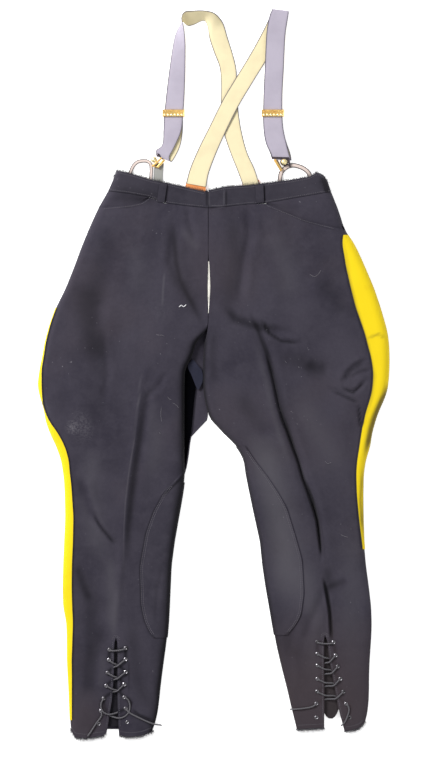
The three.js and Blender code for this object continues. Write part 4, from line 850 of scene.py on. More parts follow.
def lower_row(leg, yo, yi, level):
    """One row of a back, from its side edge at yo to its inner edge at yi."""
    d = leg["dir"]
    xo = float(eased(leg["rows"], yo, OUTER))
    free = yi > FORK
    xi = float(at(leg["backInner"], yi, 1)) if free else float(eased(leg["rows"], yi, INNER))
    roll = float(at(leg["backInner"], yi, 2)) if free else 1.0
    edge = [xo - d * s for s in BACK_ROLL]
    rim = [xi + d * s for s in BACK_ROLL[::-1]]
    middle = [lerp(edge[-1], rim[0], s) for s in np.linspace(0, 1, BACK_COUNT)[1:-1]]
    xs = np.array(edge + middle + rim)
    return np.stack([xs, level(xs), lower_height(xs, xo, xi, roll)], -1)


def seam_ends(leg):
    """Levels of the waist seam at the side edge and at the middle."""
    side, middle = (5, 0) if leg["dir"] > 0 else (1, 6)
    return leg["seam"][side][1], leg["seam"][middle][1]


def back_panel(leg, material):
    """Lower wall of a leg, its hem worn back where the vent shows it."""
    top_ends = [end - BAND_GAP for end in seam_ends(leg)]
    hem_ends = [leg["hem"][0][1], leg["hem"][-1][1]][:: -leg["dir"]]
    lowest, rise, middle = BACK_HEM[leg["name"]]

    def top(xs):
        return at(leg["seam"], xs) - BAND_GAP

    def hem(xs):
        return np.maximum(at(leg["hem"], xs), lowest) + 2 + rise * np.exp(-(((xs - middle) / 23) ** 6))

    def blended(base, ends, curve, b):
        yo, yi = (lerp(base, end, b) for end in ends)
        return lower_row(leg, yo, yi, lambda xs: lerp(base, curve(xs), b))

    rows = [blended(BACK_TOP, top_ends, top, b) for b in np.linspace(1, 0, 10)[:-1]]
    for y in spread([BACK_TOP, BACK_LOW], 8):
        rows.append(lower_row(leg, y, y, lambda xs: np.full(xs.shape, y)))
    rows += [blended(BACK_LOW, hem_ends, hem, b) for b in np.linspace(0, 1, 10)[1:]]
    node = "back_panel_" + leg["name"]
    cloth_grid("back_" + leg["name"], np.array(rows), WALL, material, [node], up=False, start=14)


# ---- waistbands ----
def band_front(leg, material):
    """Front half of the waistband, over the tops of the front and its facing."""
    d = leg["dir"]
    top_end, low_end = leg["top"][-1 if d > 0 else 0][1], seam_ends(leg)[0]
    rows = []
    for s in np.linspace(0, 1, 14):
        edge_y = lerp(top_end, low_end, s) + (BAND_GAP if s == 1 else 0)
        xo = float(eased(leg["rows"], edge_y, OUTER))
        xi = CENTRE + d * 0.4
        reach = (xo - xi) * d
        xs = xo - d * np.array(ROLL_STEPS + [lerp(CURL, reach, t) for t in np.linspace(0, 1, 120)[1:]])
        ys = lerp(at(leg["top"], xs), at(leg["seam"], xs) + BAND_GAP, s)
        ys[0] = edge_y
        z = upper(leg, xs, ys) + 0.35 * math.sin(math.pi * s)
        rows.append(np.stack([xs, ys, z], -1))
    grid = np.array(rows)
    # painted shade and light of the band's points
    shade_paint = cloth_painted_shade(leg, grid[..., 0], grid[..., 1])
    node = "waistband_front_" + leg["name"]
    cloth_grid("waistband_" + leg["name"], grid, WALL, material, [node], start=20, shade_paint=shade_paint)


def band_back(material):
    """Back waistband, in one piece from side to side."""
    rows, tall, reach = [], 22, 195
    for s in np.linspace(0, 1, 8):
        halves = []
        for leg in (RIGHT, LEFT):
            end = seam_ends(leg)[0]
            edge_y = lerp(end + tall, end + BAND_GAP, s)
            xo = float(eased(leg["rows"], edge_y, OUTER))
            ds = np.array(BACK_ROLL + [lerp(BACK_CURL, reach, t) for t in np.linspace(0, 1, 26)[1:]])
            xs = xo - leg["dir"] * ds
            ys = lerp(at(leg["top"], xs) - 3, at(leg["seam"], xs) + BAND_GAP, s)
            ys[0] = edge_y
            half = np.stack([xs, ys, lower_height(xs, xo, 1e6, 0)], -1)
            halves.append(half[:: -leg["dir"]])
        rows.append(np.concatenate(halves))
    node = "waistband_back"
    cloth_grid("waistband_back_piece", np.array(rows), WALL, material, [node], up=False, start=30)


def hip_facing(leg, material):
    """Joins the band, then slips under the front along the pocket mouth."""
    d = leg["dir"]
    tuck, under = WALL + 1.0, 0.8
    y_edge = seam_ends(leg)[0]
    y_low = leg["pocket"][-1 if d > 0 else 0][1]
    us = np.array([0, 0.004, 0.012, 0.024, 0.045, 0.075, 0.11] + list(np.linspace(0.15, 1, 30)))
    rows = []
    for s in np.linspace(0, 1, 16):
        y_side = lerp(y_edge, y_low - 8, s)
        xo = float(eased(leg["rows"], y_side, OUTER)) - (d * 3 if s >= under else 0)
        xs = lerp(xo, leg["pocketStart"] + d * 1.2, us)
        top, low = at(leg["seam"], xs) - BAND_GAP, at(leg["pocket"], xs)
        beneath = lerp(low + 1, low - 8, (s - under) / 0.2)
        ys = np.where(s >= under, beneath, lerp(top, low + 1, s / under))
        ys[0] = y_side - (BAND_GAP if s == 0 else 0)
        sink = 0.1 if s < 0.3 else lerp(0.1, tuck, min(1, (s - 0.3) / 0.45))
        z = upper(leg, xs, ys) - sink - (1.2 * (us < 0.2) if s >= under else 0)
        rows.append(np.stack([xs, ys, z], -1))
    grid = np.array(rows)
    # painted shade and light of the facing's points
    shade_paint = cloth_painted_shade(leg, grid[..., 0], grid[..., 1])
    node = "pocket_facing_" + leg["name"]
    cloth_grid("hip_facing_" + leg["name"], grid, FACING_WALL, material, [node], shade_paint=shade_paint)


def fly_strip(shield, lining):
    """Stand behind the fly: dark above, its pale lining swelling into the gap below."""
    rows, opened, closed = [], 212.0, 114.0
    xs = np.array([-24, -18, -14, -11, -9.6, -8.6, -7.4, -6.4, -5.4, -3, 4.0])
    for y in spread([345.0, opened, closed, 86.0], 5):
        ys = np.full(xs.shape, y)
        z = np.where(xs < CENTRE, upper(RIGHT, xs, ys), upper(LEFT, xs, ys))
        swell = 2.1 * np.exp(-(((xs + 7.5) / 2.2) ** 2)) * (y <= opened)
        rows.append(np.stack([xs, ys, z - WALL - 0.9 + swell], -1))
    obj = cloth_grid("fly_lining", np.array(rows), FLY_WALL, shield, ["fly_facing"])
    obj.data.materials.append(lining)
    for face in obj.data.polygons:
        if closed + OFFSET[1] < face.center.y / MM < opened + OFFSET[1]:
            face.material_index = 1


# ---- pieces laid on the panels ----
def side_stripe(leg, material):
    """Felt stripe along the side seam, with painted shade on its folds and a little painted shade at its cut
    edges.
    """
    d = leg["dir"]
    shares = (0, 0.02, 0.06, 0.13, 0.25, 0.4, 0.55, 0.7, 0.84, 0.94, 0.98, 1)
    rows = []
    for y in spread([float(y) for y in leg["stripeRows"]], 3.6):
        xo = float(eased(leg["rows"], y, OUTER))
        width = float(eased(leg["rows"], y, STRIPE))
        rows.append(level_row(leg, xo - d * np.array([width * t for t in shares]), y))
    grid = np.array(rows)
    # painted shade: both edges of the stripe laid darker
    rim = np.array([0.6, 0.25] + [0] * 8 + [0.25, 0.6])
    shade_paint = np.clip(painted_shade_at(leg, grid[..., 0], grid[..., 1], STRIPE_SHADES) - rim, -1, 1)
    grid = lifted(grid, SEAM + STRIPE_WALL)
    node = "side_stripe_" + leg["name"]
    cloth_grid("stripe_" + leg["name"], grid, STRIPE_WALL, material, [node], shade_paint=shade_paint)


def knee_patch(leg, material):
    """Patch on the inner knee and calf, taken round the inseam."""
    d = leg["dir"]
    rows = []
    for y in spread([float(y) for y in leg["patchRows"]], 3.0):
        xi = float(eased(leg["rows"], y, INNER))
        start = float(eased(leg["patch"], y))
        start = start if (start - xi) * d > PATCH_LEAST else xi + d * PATCH_LEAST
        xs = [lerp(start, xi + d * CURL, t) for t in np.linspace(0, 1, 22)[:-1]]
        rows.append(level_row(leg, np.array(xs + [xi + d * s for s in ROLL_STEPS[::-1]]), y))
    grid = np.array(rows)
    # painted shade and light of the patch's points
    shade_paint = cloth_painted_shade(leg, grid[..., 0], grid[..., 1])
    grid = lifted(grid, PATCH_SEAM + PATCH_WALL)
    node = "knee_patch_" + leg["name"]
    cloth_grid("knee_patch_cloth_" + leg["name"], grid, PATCH_WALL, material, [node], shade_paint=shade_paint)


def vent_tongue(leg, material):
    """Tongue behind the laced vent."""
    rows = []
    for y in spread([float(row[0]) for row in leg["tongue"]], 5):
        middle, half = float(at(leg["tongueMid"], y)), float(at(leg["tongue"], y))
        rows.append(level_row(leg, middle + half * np.linspace(-1, 1, 13), y, TONGUE_DROP))
    node = "vent_tongue_" + leg["name"]
    cloth_grid("tongue_" + leg["name"], np.array(rows), TONGUE_WALL, material, [node])


def belt_loop(name, leg, top, bottom, width, material):
    """A loop or side strap standing off the band between its two sewn ends."""
    rows = []
    for s in np.linspace(0, 1, 13):
        # sewn down at its ends and standing off between them
        lift = 0.5 + 1.9 * min(1, math.sin(math.pi * s) * 1.8)
        us = np.linspace(-0.5, 0.5, 7)
        xs = lerp(top[0], bottom[0], s) + us * width
        ys = lerp(top[1], bottom[1], s) + us * 2 * leg["dir"]
        crown = 0.35 * (1 - (2 * us) ** 2)
        rows.append(np.stack([xs, ys, upper(leg, xs, ys) + lift + LOOP_WALL + crown], -1))
    cloth_grid(name, np.array(rows), LOOP_WALL, material, ["belt_" + name])


# ---- webbing ----
def spline(points, fine):
    """Centripetal curve through points: fine steps a span, or steps of about fine if it is a fraction."""
    p = np.array(points, float)
    p = np.vstack([2 * p[0] - p[1], p, 2 * p[-1] - p[-2]])
    out = []
    for i in range(1, len(p) - 2):
        a, b, c, d = p[i - 1 : i + 3]
        t0 = 0.0
        t1 = t0 + max(np.linalg.norm(b - a), 1e-6) ** 0.5
        t2 = t1 + max(np.linalg.norm(c - b), 1e-6) ** 0.5
        t3 = t2 + max(np.linalg.norm(d - c), 1e-6) ** 0.5
        count = fine if isinstance(fine, int) else max(1, round(np.linalg.norm(c - b) / fine))
        for j in range(count):
            t = t1 + (t2 - t1) * j / count
            a1 = (t1 - t) / (t1 - t0) * a + (t - t0) / (t1 - t0) * b
            a2 = (t2 - t) / (t2 - t1) * b + (t - t1) / (t2 - t1) * c
            a3 = (t3 - t) / (t3 - t2) * c + (t - t2) / (t3 - t2) * d
            b1 = (t2 - t) / (t2 - t0) * a1 + (t - t0) / (t2 - t0) * a2
            b2 = (t3 - t) / (t3 - t1) * a2 + (t - t1) / (t3 - t1) * a3
            out.append((t2 - t) / (t2 - t1) * b1 + (t - t1) / (t2 - t1) * b2)
    out.append(p[-2])
    return np.array(out)


def ribbon(name, rows, thick, fine, across, outer, inner, nodes):
    """A flat band between two edges; outer faces its first side, inner the other."""
    left = spline([r[:3] for r in rows], fine)
    right = spline([r[3:] for r in rows], fine)
    us = np.linspace(0, 1, across)
    grid = left[:, None, :] * (1 - us)[None, :, None] + right[:, None, :] * us[None, :, None]
    middle = grid[:, across // 2]
    along = np.gradient(middle, axis=0)
    up = np.cross(right - left, along)
    up /= np.linalg.norm(up, axis=-1, keepdims=True)
    body = np.array([0.55] + [1.0] * (across - 2) + [0.55])
    top = grid + up[:, None, :] * (thick / 2) * body[None, :, None]
    under = grid - up[:, None, :] * (thick / 2) * body[None, :, None]
    r, c = top.shape[:2]
    n = r * c
    a = grid_faces(r, c)
    sides = []
    for i in range(r - 1):
        sides.append((i * c, (i + 1) * c, (i + 1) * c + n, i * c + n))
        e = i * c + c - 1
        sides.append((e, e + n, e + c + n, e + c))
    for j in range(c - 1):
        sides.append((j, j + n, j + 1 + n, j + 1))
        e = (r - 1) * c + j
        sides.append((e, e + 1, e + 1 + n, e + n))
    run = run_along(middle)
    uv = np.stack(np.broadcast_arrays(us[None, :] * 1000, run[:, None]), -1)
    points = np.concatenate([top.reshape(-1, 3), under.reshape(-1, 3)])
    faces = [tuple(f) for f in a] + [tuple(f[::-1] + n) for f in a] + sides
    obj = mesh_object(name, points, faces, outer, np.concatenate([uv.reshape(-1, 2)] * 2))
    obj.data.materials.append(inner)
    count = len(a)
    index = np.zeros(len(faces), np.int32)
    index[count : 2 * count] = 1
    obj.data.polygons.foreach_set("material_index", index)
    if signed_volume(obj) < 0:
        with editing(obj):
            bpy.ops.mesh.flip_normals()
    finish_piece(obj, nodes, 50)
    return obj


def signed_volume(obj):
    """Volume of a closed mesh, negative if its faces look inwards."""
    work = bmesh.new()
    work.from_mesh(obj.data)
    volume = work.calc_volume(signed=True)
    work.free()
    return volume


def band_rows(path, width, z=None):
    """The two edges of a flat band of one width along a path."""
    p = np.array([(q[0], q[1], q[2] if z is None else z) for q in path], float)
    d = np.zeros_like(p)
    d[1:-1] = p[2:] - p[:-2]
    d[0], d[-1] = p[1] - p[0], p[-1] - p[-2]
    d[:, 2] = 0
    d /= np.linalg.norm(d, axis=1, keepdims=True)
    side = np.stack([-d[:, 1], d[:, 0], np.zeros(len(d))], -1) * width / 2
    return [tuple(a) + tuple(b) for a, b in zip(p + side, p - side)]


# ---- round cords ----
def tube(name, path, radius, sides, material):
    """A round cord along a line of points, with its run in the UV map."""
    p = np.asarray(path, float)
    t = np.gradient(p, axis=0)
    t /= np.linalg.norm(t, axis=1, keepdims=True)
    side = np.cross(t[0], [0, 0, 1.0])
    if np.linalg.norm(side) < 1e-6:
        side = np.array([1.0, 0, 0])
    rings, frame_side = [], side / np.linalg.norm(side)
    angles = 2 * np.pi * np.arange(sides) / sides
    for q, d in zip(p, t):
        frame_side = frame_side - d * frame_side.dot(d)
        frame_side /= np.linalg.norm(frame_side)
        up = np.cross(d, frame_side)
        rings.append(q + radius * (np.cos(angles)[:, None] * frame_side + np.sin(angles)[:, None] * up))
    n = len(p)
    faces = []
    for i in range(n - 1):
        for k in range(sides):
            a, b = i * sides + k, i * sides + (k + 1) % sides
            faces.append((a, b, b + sides, a + sides))
    points = [v for ring in rings for v in ring]
    first, last = len(points), len(points) + 1
    points += [p[0] - t[0] * radius * 0.6, p[-1] + t[-1] * radius * 0.6]
    e = (n - 1) * sides
    for k in range(sides):
        faces.append((first, (k + 1) % sides, k))
        faces.append((last, e + k, e + (k + 1) % sides))
    run = run_along(p)
    uv = np.zeros((len(points), 2))
    uv[: n * sides, 0] = np.tile(np.arange(sides) * 1000 / sides, n)
    uv[: n * sides, 1] = np.repeat(run, sides)
    obj = mesh_object(name, points, faces, material, uv)
    with editing(obj):
        bpy.ops.mesh.normals_make_consistent(inside=False)
    return obj


def relaxed(path, rounds):
    """The same line with its corners eased by averaging, its ends kept."""
    for _ in range(rounds):
        path = np.vstack([path[:1], (path[:-2] + 2 * path[1:-1] + path[2:]) / 4, path[-1:]])
    return path


def make_lace(side, points, material):
    """The whole lace of one leg, both free ends included."""
    path = relaxed(spline(np.array(points, float) - OFFSET, 1.2), 14)[::2]
    obj = tube("shoelace_" + side, path, LACE / 2, 10, material)
    finish_piece(obj, ["lace_" + side], 60)


# ---- sewing ----
def stitches(name, lines, pitch=3.6, length=2.5, width=0.75):
    """Rows of thread along lines of points that lie on the cloth."""
    points, faces = [], []
    for line in lines:
        p = np.asarray(line, float)
        run = run_along(p)
        for s in np.arange(pitch / 2, run[-1], pitch):
            a = np.array([np.interp(s - length / 2, run, p[:, k]) for k in range(3)])
            b = np.array([np.interp(s + length / 2, run, p[:, k]) for k in range(3)])
            d = b - a
            d /= max(np.linalg.norm(d), 1e-6)
            w = np.cross(d, [0, 0, 1.0])
            w /= max(np.linalg.norm(w), 1e-6)
            h = np.cross(w, d)
            m0, m1 = lerp(a, b, 0.25), lerp(a, b, 0.75)
            base = len(points)
            points.append(a)
            for m in (m0, m1):
                for k in range(4):
                    c, sn = math.cos(k * math.pi / 2), math.sin(k * math.pi / 2)
                    points.append(m + w * c * width / 2 + h * sn * width / 2)
            points.append(b)
            for k in range(4):
                k1 = (k + 1) % 4
                faces.append((base, base + 1 + k1, base + 1 + k))
                faces.append((base + 1 + k, base + 1 + k1, base + 5 + k1, base + 5 + k))
                faces.append((base + 5 + k, base + 5 + k1, base + 9))
    obj = mesh_object(name, points, faces, THREAD)
    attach(obj, "root")
    return obj


def leg_line(leg, xs, ys, lift=0.2):
    """A line on a leg through the given places."""
    step = 2.5
    p = np.stack([np.asarray(xs, float), np.asarray(ys, float)], -1)
    run = run_along(p)
    s = np.arange(0, run[-1], step)
    x, y = np.interp(s, run, p[:, 0]), np.interp(s, run, p[:, 1])
    return on_leg(leg, x, y, lift)


def sew(leg):
    """Stitching of a leg along its patch, band, pocket mouth, hem and vent, and thick near-black stitches at
    the stripe, painted shadow at its seam.
    """
    d, hem, slit, (hi, lo) = leg["dir"], leg["hem"], leg["slit"], leg["patchRows"]
    # two rows inside the patch's edge
    ys = np.arange(lo + 6, hi - 4, 4.0)
    xs = eased(leg["patch"], ys)
    keep = (xs - eased(leg["rows"], ys, INNER)) * d > 8
    lines = [leg_line(leg, xs[keep] - d * inset, ys[keep], 0.6 + PATCH_WALL) for inset in (1.6, 5.2)]
    # the band's lower and upper edge
    xs = np.linspace(leg["seam"][0][0] + 6, leg["seam"][-1][0] - 6, 40)
    lines.append(leg_line(leg, xs, at(leg["seam"], xs) + 3.0))
    lines.append(leg_line(leg, xs, at(leg["top"], xs) - 3.5))
    # the pocket mouth
    xs = np.linspace(leg["pocket"][0][0], leg["pocket"][-1][0], 60)
    xs = xs[(xs - leg["pocketStart"]) * d > 0]
    xs = xs[(leg["rows"][2][1] - xs) * d > 6]
    lines.append(leg_line(leg, xs, at(leg["pocket"], xs) - 2.5))
    # the hem on either side of the vent, the vent's edges, and two curved bar tacks over it
    for a, b in ((hem[0][0] + 3, min(slit[-1][1:]) - 2), (max(slit[-1][1:]) + 2, hem[-1][0] - 3)):
        xs = np.linspace(a, b, 24)
        lines.append(leg_line(leg, xs, at(hem, xs) + 7))
    for column, sign in ((1, -1), (2, 1)):
        ys = np.arange(slit[-1][0] + 22, leg["slitTop"] - 4, 4.0)
        lines.append(leg_line(leg, at(slit, ys, column) + sign * 3.0, ys))
    turns = np.linspace(-0.3, math.pi + 0.3, 16)
    for radius in (4.5, 7.0):
        xs, ys = slit[0][1] + radius * np.cos(turns), leg["slitTop"] - 3 + radius * np.sin(turns)
        lines.append(leg_line(leg, xs, ys))
    stitches("stitching_" + leg["name"], lines)
    # painted shadow: thick near-black stitches beside the stripe, along its seam
    ys = np.arange(leg["stripeRows"][1] + 5, leg["stripeRows"][0] - 5, 4.0)
    xs = eased(leg["rows"], ys, OUTER) - d * (eased(leg["rows"], ys, STRIPE) + 0.6)
    line = leg_line(leg, xs, ys, 0.7)
    sewn = stitches("stripe_seam_shadow_" + leg["name"], [line], pitch=2.4, length=2.9, width=1.8)
    sewn.data.materials[0] = SEAM_SHADOW_BLACK


def between(name, rows, wall, material):
    """A small cut piece between two edges, given by their points."""
    left, right = spline([r[:3] for r in rows], 5), spline([r[3:] for r in rows], 5)
    us = np.linspace(0, 1, 9)[None, :, None]
    grid = left[:, None] * (1 - us) + right[:, None] * us
    cloth_grid(name, grid, wall, material, ())


# ---- loose fibres ----
def strands(name, roots, ways, lengths, radius, material):
    """Many short curved hairs in one mesh, each from its root along its way."""
    points, faces = [], []
    sides, steps = 3, 3
    turn = 2 * np.pi * np.arange(sides) / sides
    for root, way, length in zip(roots, ways, lengths):
        way = way / np.linalg.norm(way)
        bend = rng.normal(0, 0.45, 3)
        base = len(points)
        for k in range(steps + 1):
            s = k / steps
            middle = root + way * length * s + bend * length * s * s * 0.5
            side = np.cross(way, [0.3, 0.2, 1.0])
            side /= np.linalg.norm(side)
            up = np.cross(way, side)
            thin = radius * (1 - 0.75 * s)
            points.extend(middle + thin * (math.cos(t) * side + math.sin(t) * up) for t in turn)
        for k in range(steps):
            for j in range(sides):
                a, b = base + k * sides + j, base + k * sides + (j + 1) % sides
                faces.append((a, b, b + sides, a + sides))
        faces.append(tuple(base + j for j in range(sides))[::-1])
        faces.append(tuple(base + steps * sides + j for j in range(sides)))
    obj = mesh_object(name, points, faces, material)
    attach(obj, "root")
    return obj


def edge_fuzz(name, leg, line, way, count, reach, material):
    """Worn pile standing out past an edge of a leg."""
    xs = rng.uniform(line[0][0], line[-1][0], count)
    ys = at(line, xs)
    gap = leg["slit"][-1]
    xs = xs[(xs < gap[1]) | (xs > gap[2]) | (ys > 0)]
    ys, count = at(line, xs), len(xs)
    z = upper(leg, xs, ys) - rng.uniform(0.2, 2.6, count)
    roots = np.stack([xs, ys - way[1] * 0.4, z], -1)
    ways = np.array(way)[None, :] + rng.normal(0, 0.55, (count, 3)) * np.array([1, 0.6, 0.35])
    return strands(name, roots, ways, rng.uniform(0.4, 1.0, count) ** 1.5 * reach, 0.15, material)


def lint(name, leg, points, radius, material):
    """A loose thread lying on the cloth."""
    p = spline([(*q, 0.0) for q in points], 6)
    path = on_leg(leg, p[:, 0], p[:, 1], radius)
    obj = tube(name, path, radius, 6, material)
    return finish_piece(obj, (), 60)


# ---- brass fittings ----
def primitive(kind, material, **settings):
    """A new solid of one kind in its material."""
    bpy.ops.object.select_all(action="DESELECT")
    getattr(bpy.ops.mesh, "primitive_%s_add" % kind)(**settings)
    obj = bpy.context.active_object
    obj.data.materials.append(material)
    return obj


def slider_face(side, material, pale):
    """Stamped front of a slider: a sunk field, a beaded row and a scalloped lip."""
    low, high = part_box("brace_slider_" + side)
    wide, tall = high[0] - low[0], high[1] - low[1]
    middle = Vector(((low[0] + high[0]) / 2, (low[1] + high[1]) / 2, high[2] + PLATE * MM / 2 + 0.1 * MM))
    face = primitive("cube", material, size=1, location=middle)
    face.name = "slider_face_" + side
    with editing(face):
        bpy.ops.transform.resize(value=(wide, tall, PLATE * MM))
        work = bmesh.from_edit_mesh(face.data)
        for f in work.faces:
            f.select = f.normal.z > 0.9
        bmesh.update_edit_mesh(face.data)
        bpy.ops.mesh.inset(thickness=PLATE_RIM * MM)
        bpy.ops.transform.translate(value=(0, 0, -0.55 * PLATE * MM))
        bpy.ops.mesh.select_all(action="SELECT")
        bpy.ops.mesh.bevel(offset=0.22 * MM, segments=2, affect="EDGES")
    pieces = [face]
    # rows of beads: how many, where up the face, size, rise, metal; the lower row's pale brass is rubbed
    # brass and partly a painted highlight
    rows = [(11, 0.26, 0.62, 0.2, material), (6, -0.28, 2.1, 0.1, pale)]
    for count, share, size, rise, metal_of in rows:
        for i in range(count):
            x = middle.x + ((i + 0.5) / count - 0.5) * wide * 0.94
            y = middle.y + share * tall
            place = (x, y, middle.z + rise * MM)
            ball = primitive(
                "uv_sphere", metal_of, segments=14, ring_count=8, radius=BEAD * MM * size, location=place
            )
            with editing(ball):
                bpy.ops.transform.resize(value=(1.0, 0.85, 0.55))
            pieces.append(ball)
    return joined(pieces, face.name)


def joined(pieces, name, nodes=()):
    """One metal piece made of several."""
    bpy.ops.object.select_all(action="DESELECT")
    for piece in pieces:
        piece.select_set(True)
    bpy.context.view_layer.objects.active = pieces[0]
    bpy.ops.object.join()
    bpy.ops.object.transform_apply(location=True, rotation=True, scale=True)
    pieces[0].name = name
    return finish_piece(pieces[0], nodes, 35)


def placed(point):
    """A place in millimetres before the offset, in the frame."""
    return Vector(point) * MM + Vector(OFFSET) * MM


def bar(a, b, wide, tall, material):
    """A flat bar with rounded edges between two points."""
    a, b = placed(a), placed(b)
    way = b - a
    obj = primitive(
        "cube",
        material,
        size=1,
        location=(a + b) / 2,
        rotation=way.to_track_quat("Y", "Z").to_euler(),
        scale=(wide * MM, way.length, tall * MM),
    )
    bpy.ops.object.transform_apply(location=True, rotation=True, scale=True)
    with editing(obj):
        bpy.ops.mesh.bevel(offset=0.3 * min(wide, tall) * MM, segments=3, affect="EDGES")
    return obj


def knob(centre, radius, flat, material):
    """A domed stud."""
    place = {"location": placed(centre), "scale": (1, 1, flat)}
    obj = primitive("uv_sphere", material, segments=32, ring_count=16, radius=radius * MM, **place)
    bpy.ops.object.transform_apply(location=True, rotation=True, scale=True)
    return obj


def collar(centre, radius, wire, material):
    """A round rim lying flat."""
    radii = {"major_radius": radius * MM, "minor_radius": wire * MM}
    place = placed(centre)
    return primitive("torus", material, major_segments=40, minor_segments=12, location=place, **radii)


def brace_clips(brass, pale, dark):
    """Clips at the strap ends: bars that hold the runner, a snap stud and its rivet."""
    right = [
        bar((-97.5, 409.5, 8), (-115.5, 393, 7), 3.4, 2.2, brass),
        bar((-92.5, 405.5, 8.6), (-106, 390.5, 7.6), 4.4, 2.6, brass),
        bar((-115.9, 394, 6.4), (-104, 390.6, 6.4), 1.8, 1.8, brass),
        bar((-105, 414, 7.6), (-93, 405, 7.6), 2.2, 1.8, dark),
        knob((-104.5, 414.2, 8.4), 3.4, 0.6, dark),
        # pale dome: rubbed brass, partly a painted highlight
        knob((-112.4, 405.8, 8.4), 5.0, 0.62, pale),
        collar((-112.4, 405.8, 7.6), 4.9, 0.8, brass),
    ]
    joined(right, "clip_right", ["brace_clip_right"])
    left = [
        bar((111.5, 409.6, 8), (144.5, 408.6, 8), 3.4, 1.6, dark),
        bar((117.2, 406, 8.6), (130.2, 385, 8), 5.2, 2.4, brass),
        bar((121.8, 406, 8), (131.8, 387, 7.4), 2.0, 1.6, dark),
        bar((143.5, 408, 7.6), (146.4, 392, 7), 3.6, 1.8, dark),
        # pale dome: rubbed brass, partly a painted highlight
        knob((135.5, 401.4, 8.6), 5.8, 0.6, pale),
        collar((135.5, 401.4, 7.8), 6.4, 1.2, dark),
    ]
    joined(left, "clip_left", ["brace_clip_left"])


def eyelets(material):
    """Rolled rims of the eyelets, sloping out and in."""
    for node in [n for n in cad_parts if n.startswith("eyelet_")]:
        low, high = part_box(node)
        place = ((low[0] + high[0]) / 2, (low[1] + high[1]) / 2, high[2] - 0.4 * MM)
        radii = {"major_radius": RIM_RADIUS * MM, "minor_radius": RIM_WIRE * MM}
        rim = primitive("torus", material, major_segments=28, minor_segments=4, location=place, **radii)
        with editing(rim):
            bpy.ops.transform.resize(value=(1, 1, 0.5))
        joined([rim], node + "_rim", [node])


# ---- shader groups ----
class Nodes:
    """Adds and links nodes in one tree, left to right."""

    def __init__(self, tree):
        self.tree = tree
        self.x = 0

    def add(self, kind, values=None, links=None, **settings):
        node = self.tree.nodes.new(kind)
        self.x += 180
        node.location = (self.x, 0)
        for key, value in settings.items():
            setattr(node, key, value)
        for key, value in (values or {}).items():
            node.inputs[key].default_value = value
        for key, source in (links or {}).items():
            self.tree.links.new(source, node.inputs[key])
        return node

    def math(self, operation, a, b=None):
        node = self.add("ShaderNodeMath", operation=operation)
        for i, v in enumerate((a, b)):
            if v is None:
                continue
            if isinstance(v, (int, float)):
                node.inputs[i].default_value = v
            else:
                self.tree.links.new(v, node.inputs[i])
        return node.outputs[0]

    def mix(self, factor, a, b, blend="MIX"):
        node = self.add("ShaderNodeMix", data_type="RGBA", blend_type=blend)
        for i, v in ((0, factor), (6, a), (7, b)):
            if isinstance(v, (int, float)):
                node.inputs[i].default_value = v
            elif isinstance(v, tuple):
                node.inputs[i].default_value = (*v, 1.0)
            else:
                self.tree.links.new(v, node.inputs[i])
        return node.outputs[2]

    def ramp(self, source, low, high):
        """0 where a value is low, 1 where it is high."""
        node = self.add("ShaderNodeMapRange", {"From Min": low, "From Max": high}, {"Value": source})
        return node.outputs[0]

    def noise(self, vector, scale, detail, roughness=0.5):
        values = {"Scale": scale, "Detail": detail, "Roughness": roughness}
        return self.add("ShaderNodeTexNoise", values, {"Vector": vector}).outputs

    def weighted(self, a, share_a, b, share_b):
        """Two values added, each with its share."""
        return self.math("ADD", self.math("MULTIPLY", a, share_a), self.math("MULTIPLY", b, share_b))

    def wash(self, under, over, source, low, high, share):
        """One colour washed over another, to its share where a value is high."""
        return self.mix(self.math("MULTIPLY", self.ramp(source, low, high), share), under, over)

    def distance(self, vector, place):
        node = self.add("ShaderNodeVectorMath", {1: place}, {0: vector}, operation="DISTANCE")
        return node.outputs["Value"]


def shader_group(name, values, outputs):
    """A node group that takes a vector and some values: its tree, nodes, inputs and outputs."""
    tree = bpy.data.node_groups.new(name, "ShaderNodeTree")
    tree.interface.new_socket(name="Vector", in_out="INPUT", socket_type="NodeSocketVector")
    for key, value in values.items():
        socket = tree.interface.new_socket(name=key, in_out="INPUT", socket_type="NodeSocketFloat")
        socket.default_value = value
    for key in outputs:
        tree.interface.new_socket(name=key, in_out="OUTPUT", socket_type="NodeSocketFloat")
    source = tree.nodes.new("NodeGroupInput")
    sink = tree.nodes.new("NodeGroupOutput")
    return tree, Nodes(tree), source.outputs, sink.inputs


def make_twill():
    """Diagonal ribs with uneven yarns: a height and a shade from 0 to 1."""
    tree, n, given, out = shader_group("twill", {"Ribs": 700.0, "Uneven": 2.0}, ["Height", "Shade"])
    ribs = n.add(
        "ShaderNodeTexWave",
        {"Detail": 2.0, "Detail Scale": 1.5},
        {"Vector": given["Vector"], "Scale": given["Ribs"], "Distortion": given["Uneven"]},
        wave_type="BANDS",
        bands_direction="DIAGONAL",
    )
    yarn = n.noise(given["Vector"], 900.0, 3.0)["Fac"]
    slub = n.noise(given["Vector"], 140.0, 4.0, 0.65)["Fac"]
    tree.links.new(n.weighted(ribs.outputs["Fac"], 0.7, yarn, 0.6), out["Height"])
    tree.links.new(n.weighted(slub, 0.8, yarn, 0.2), out["Shade"])
    return tree


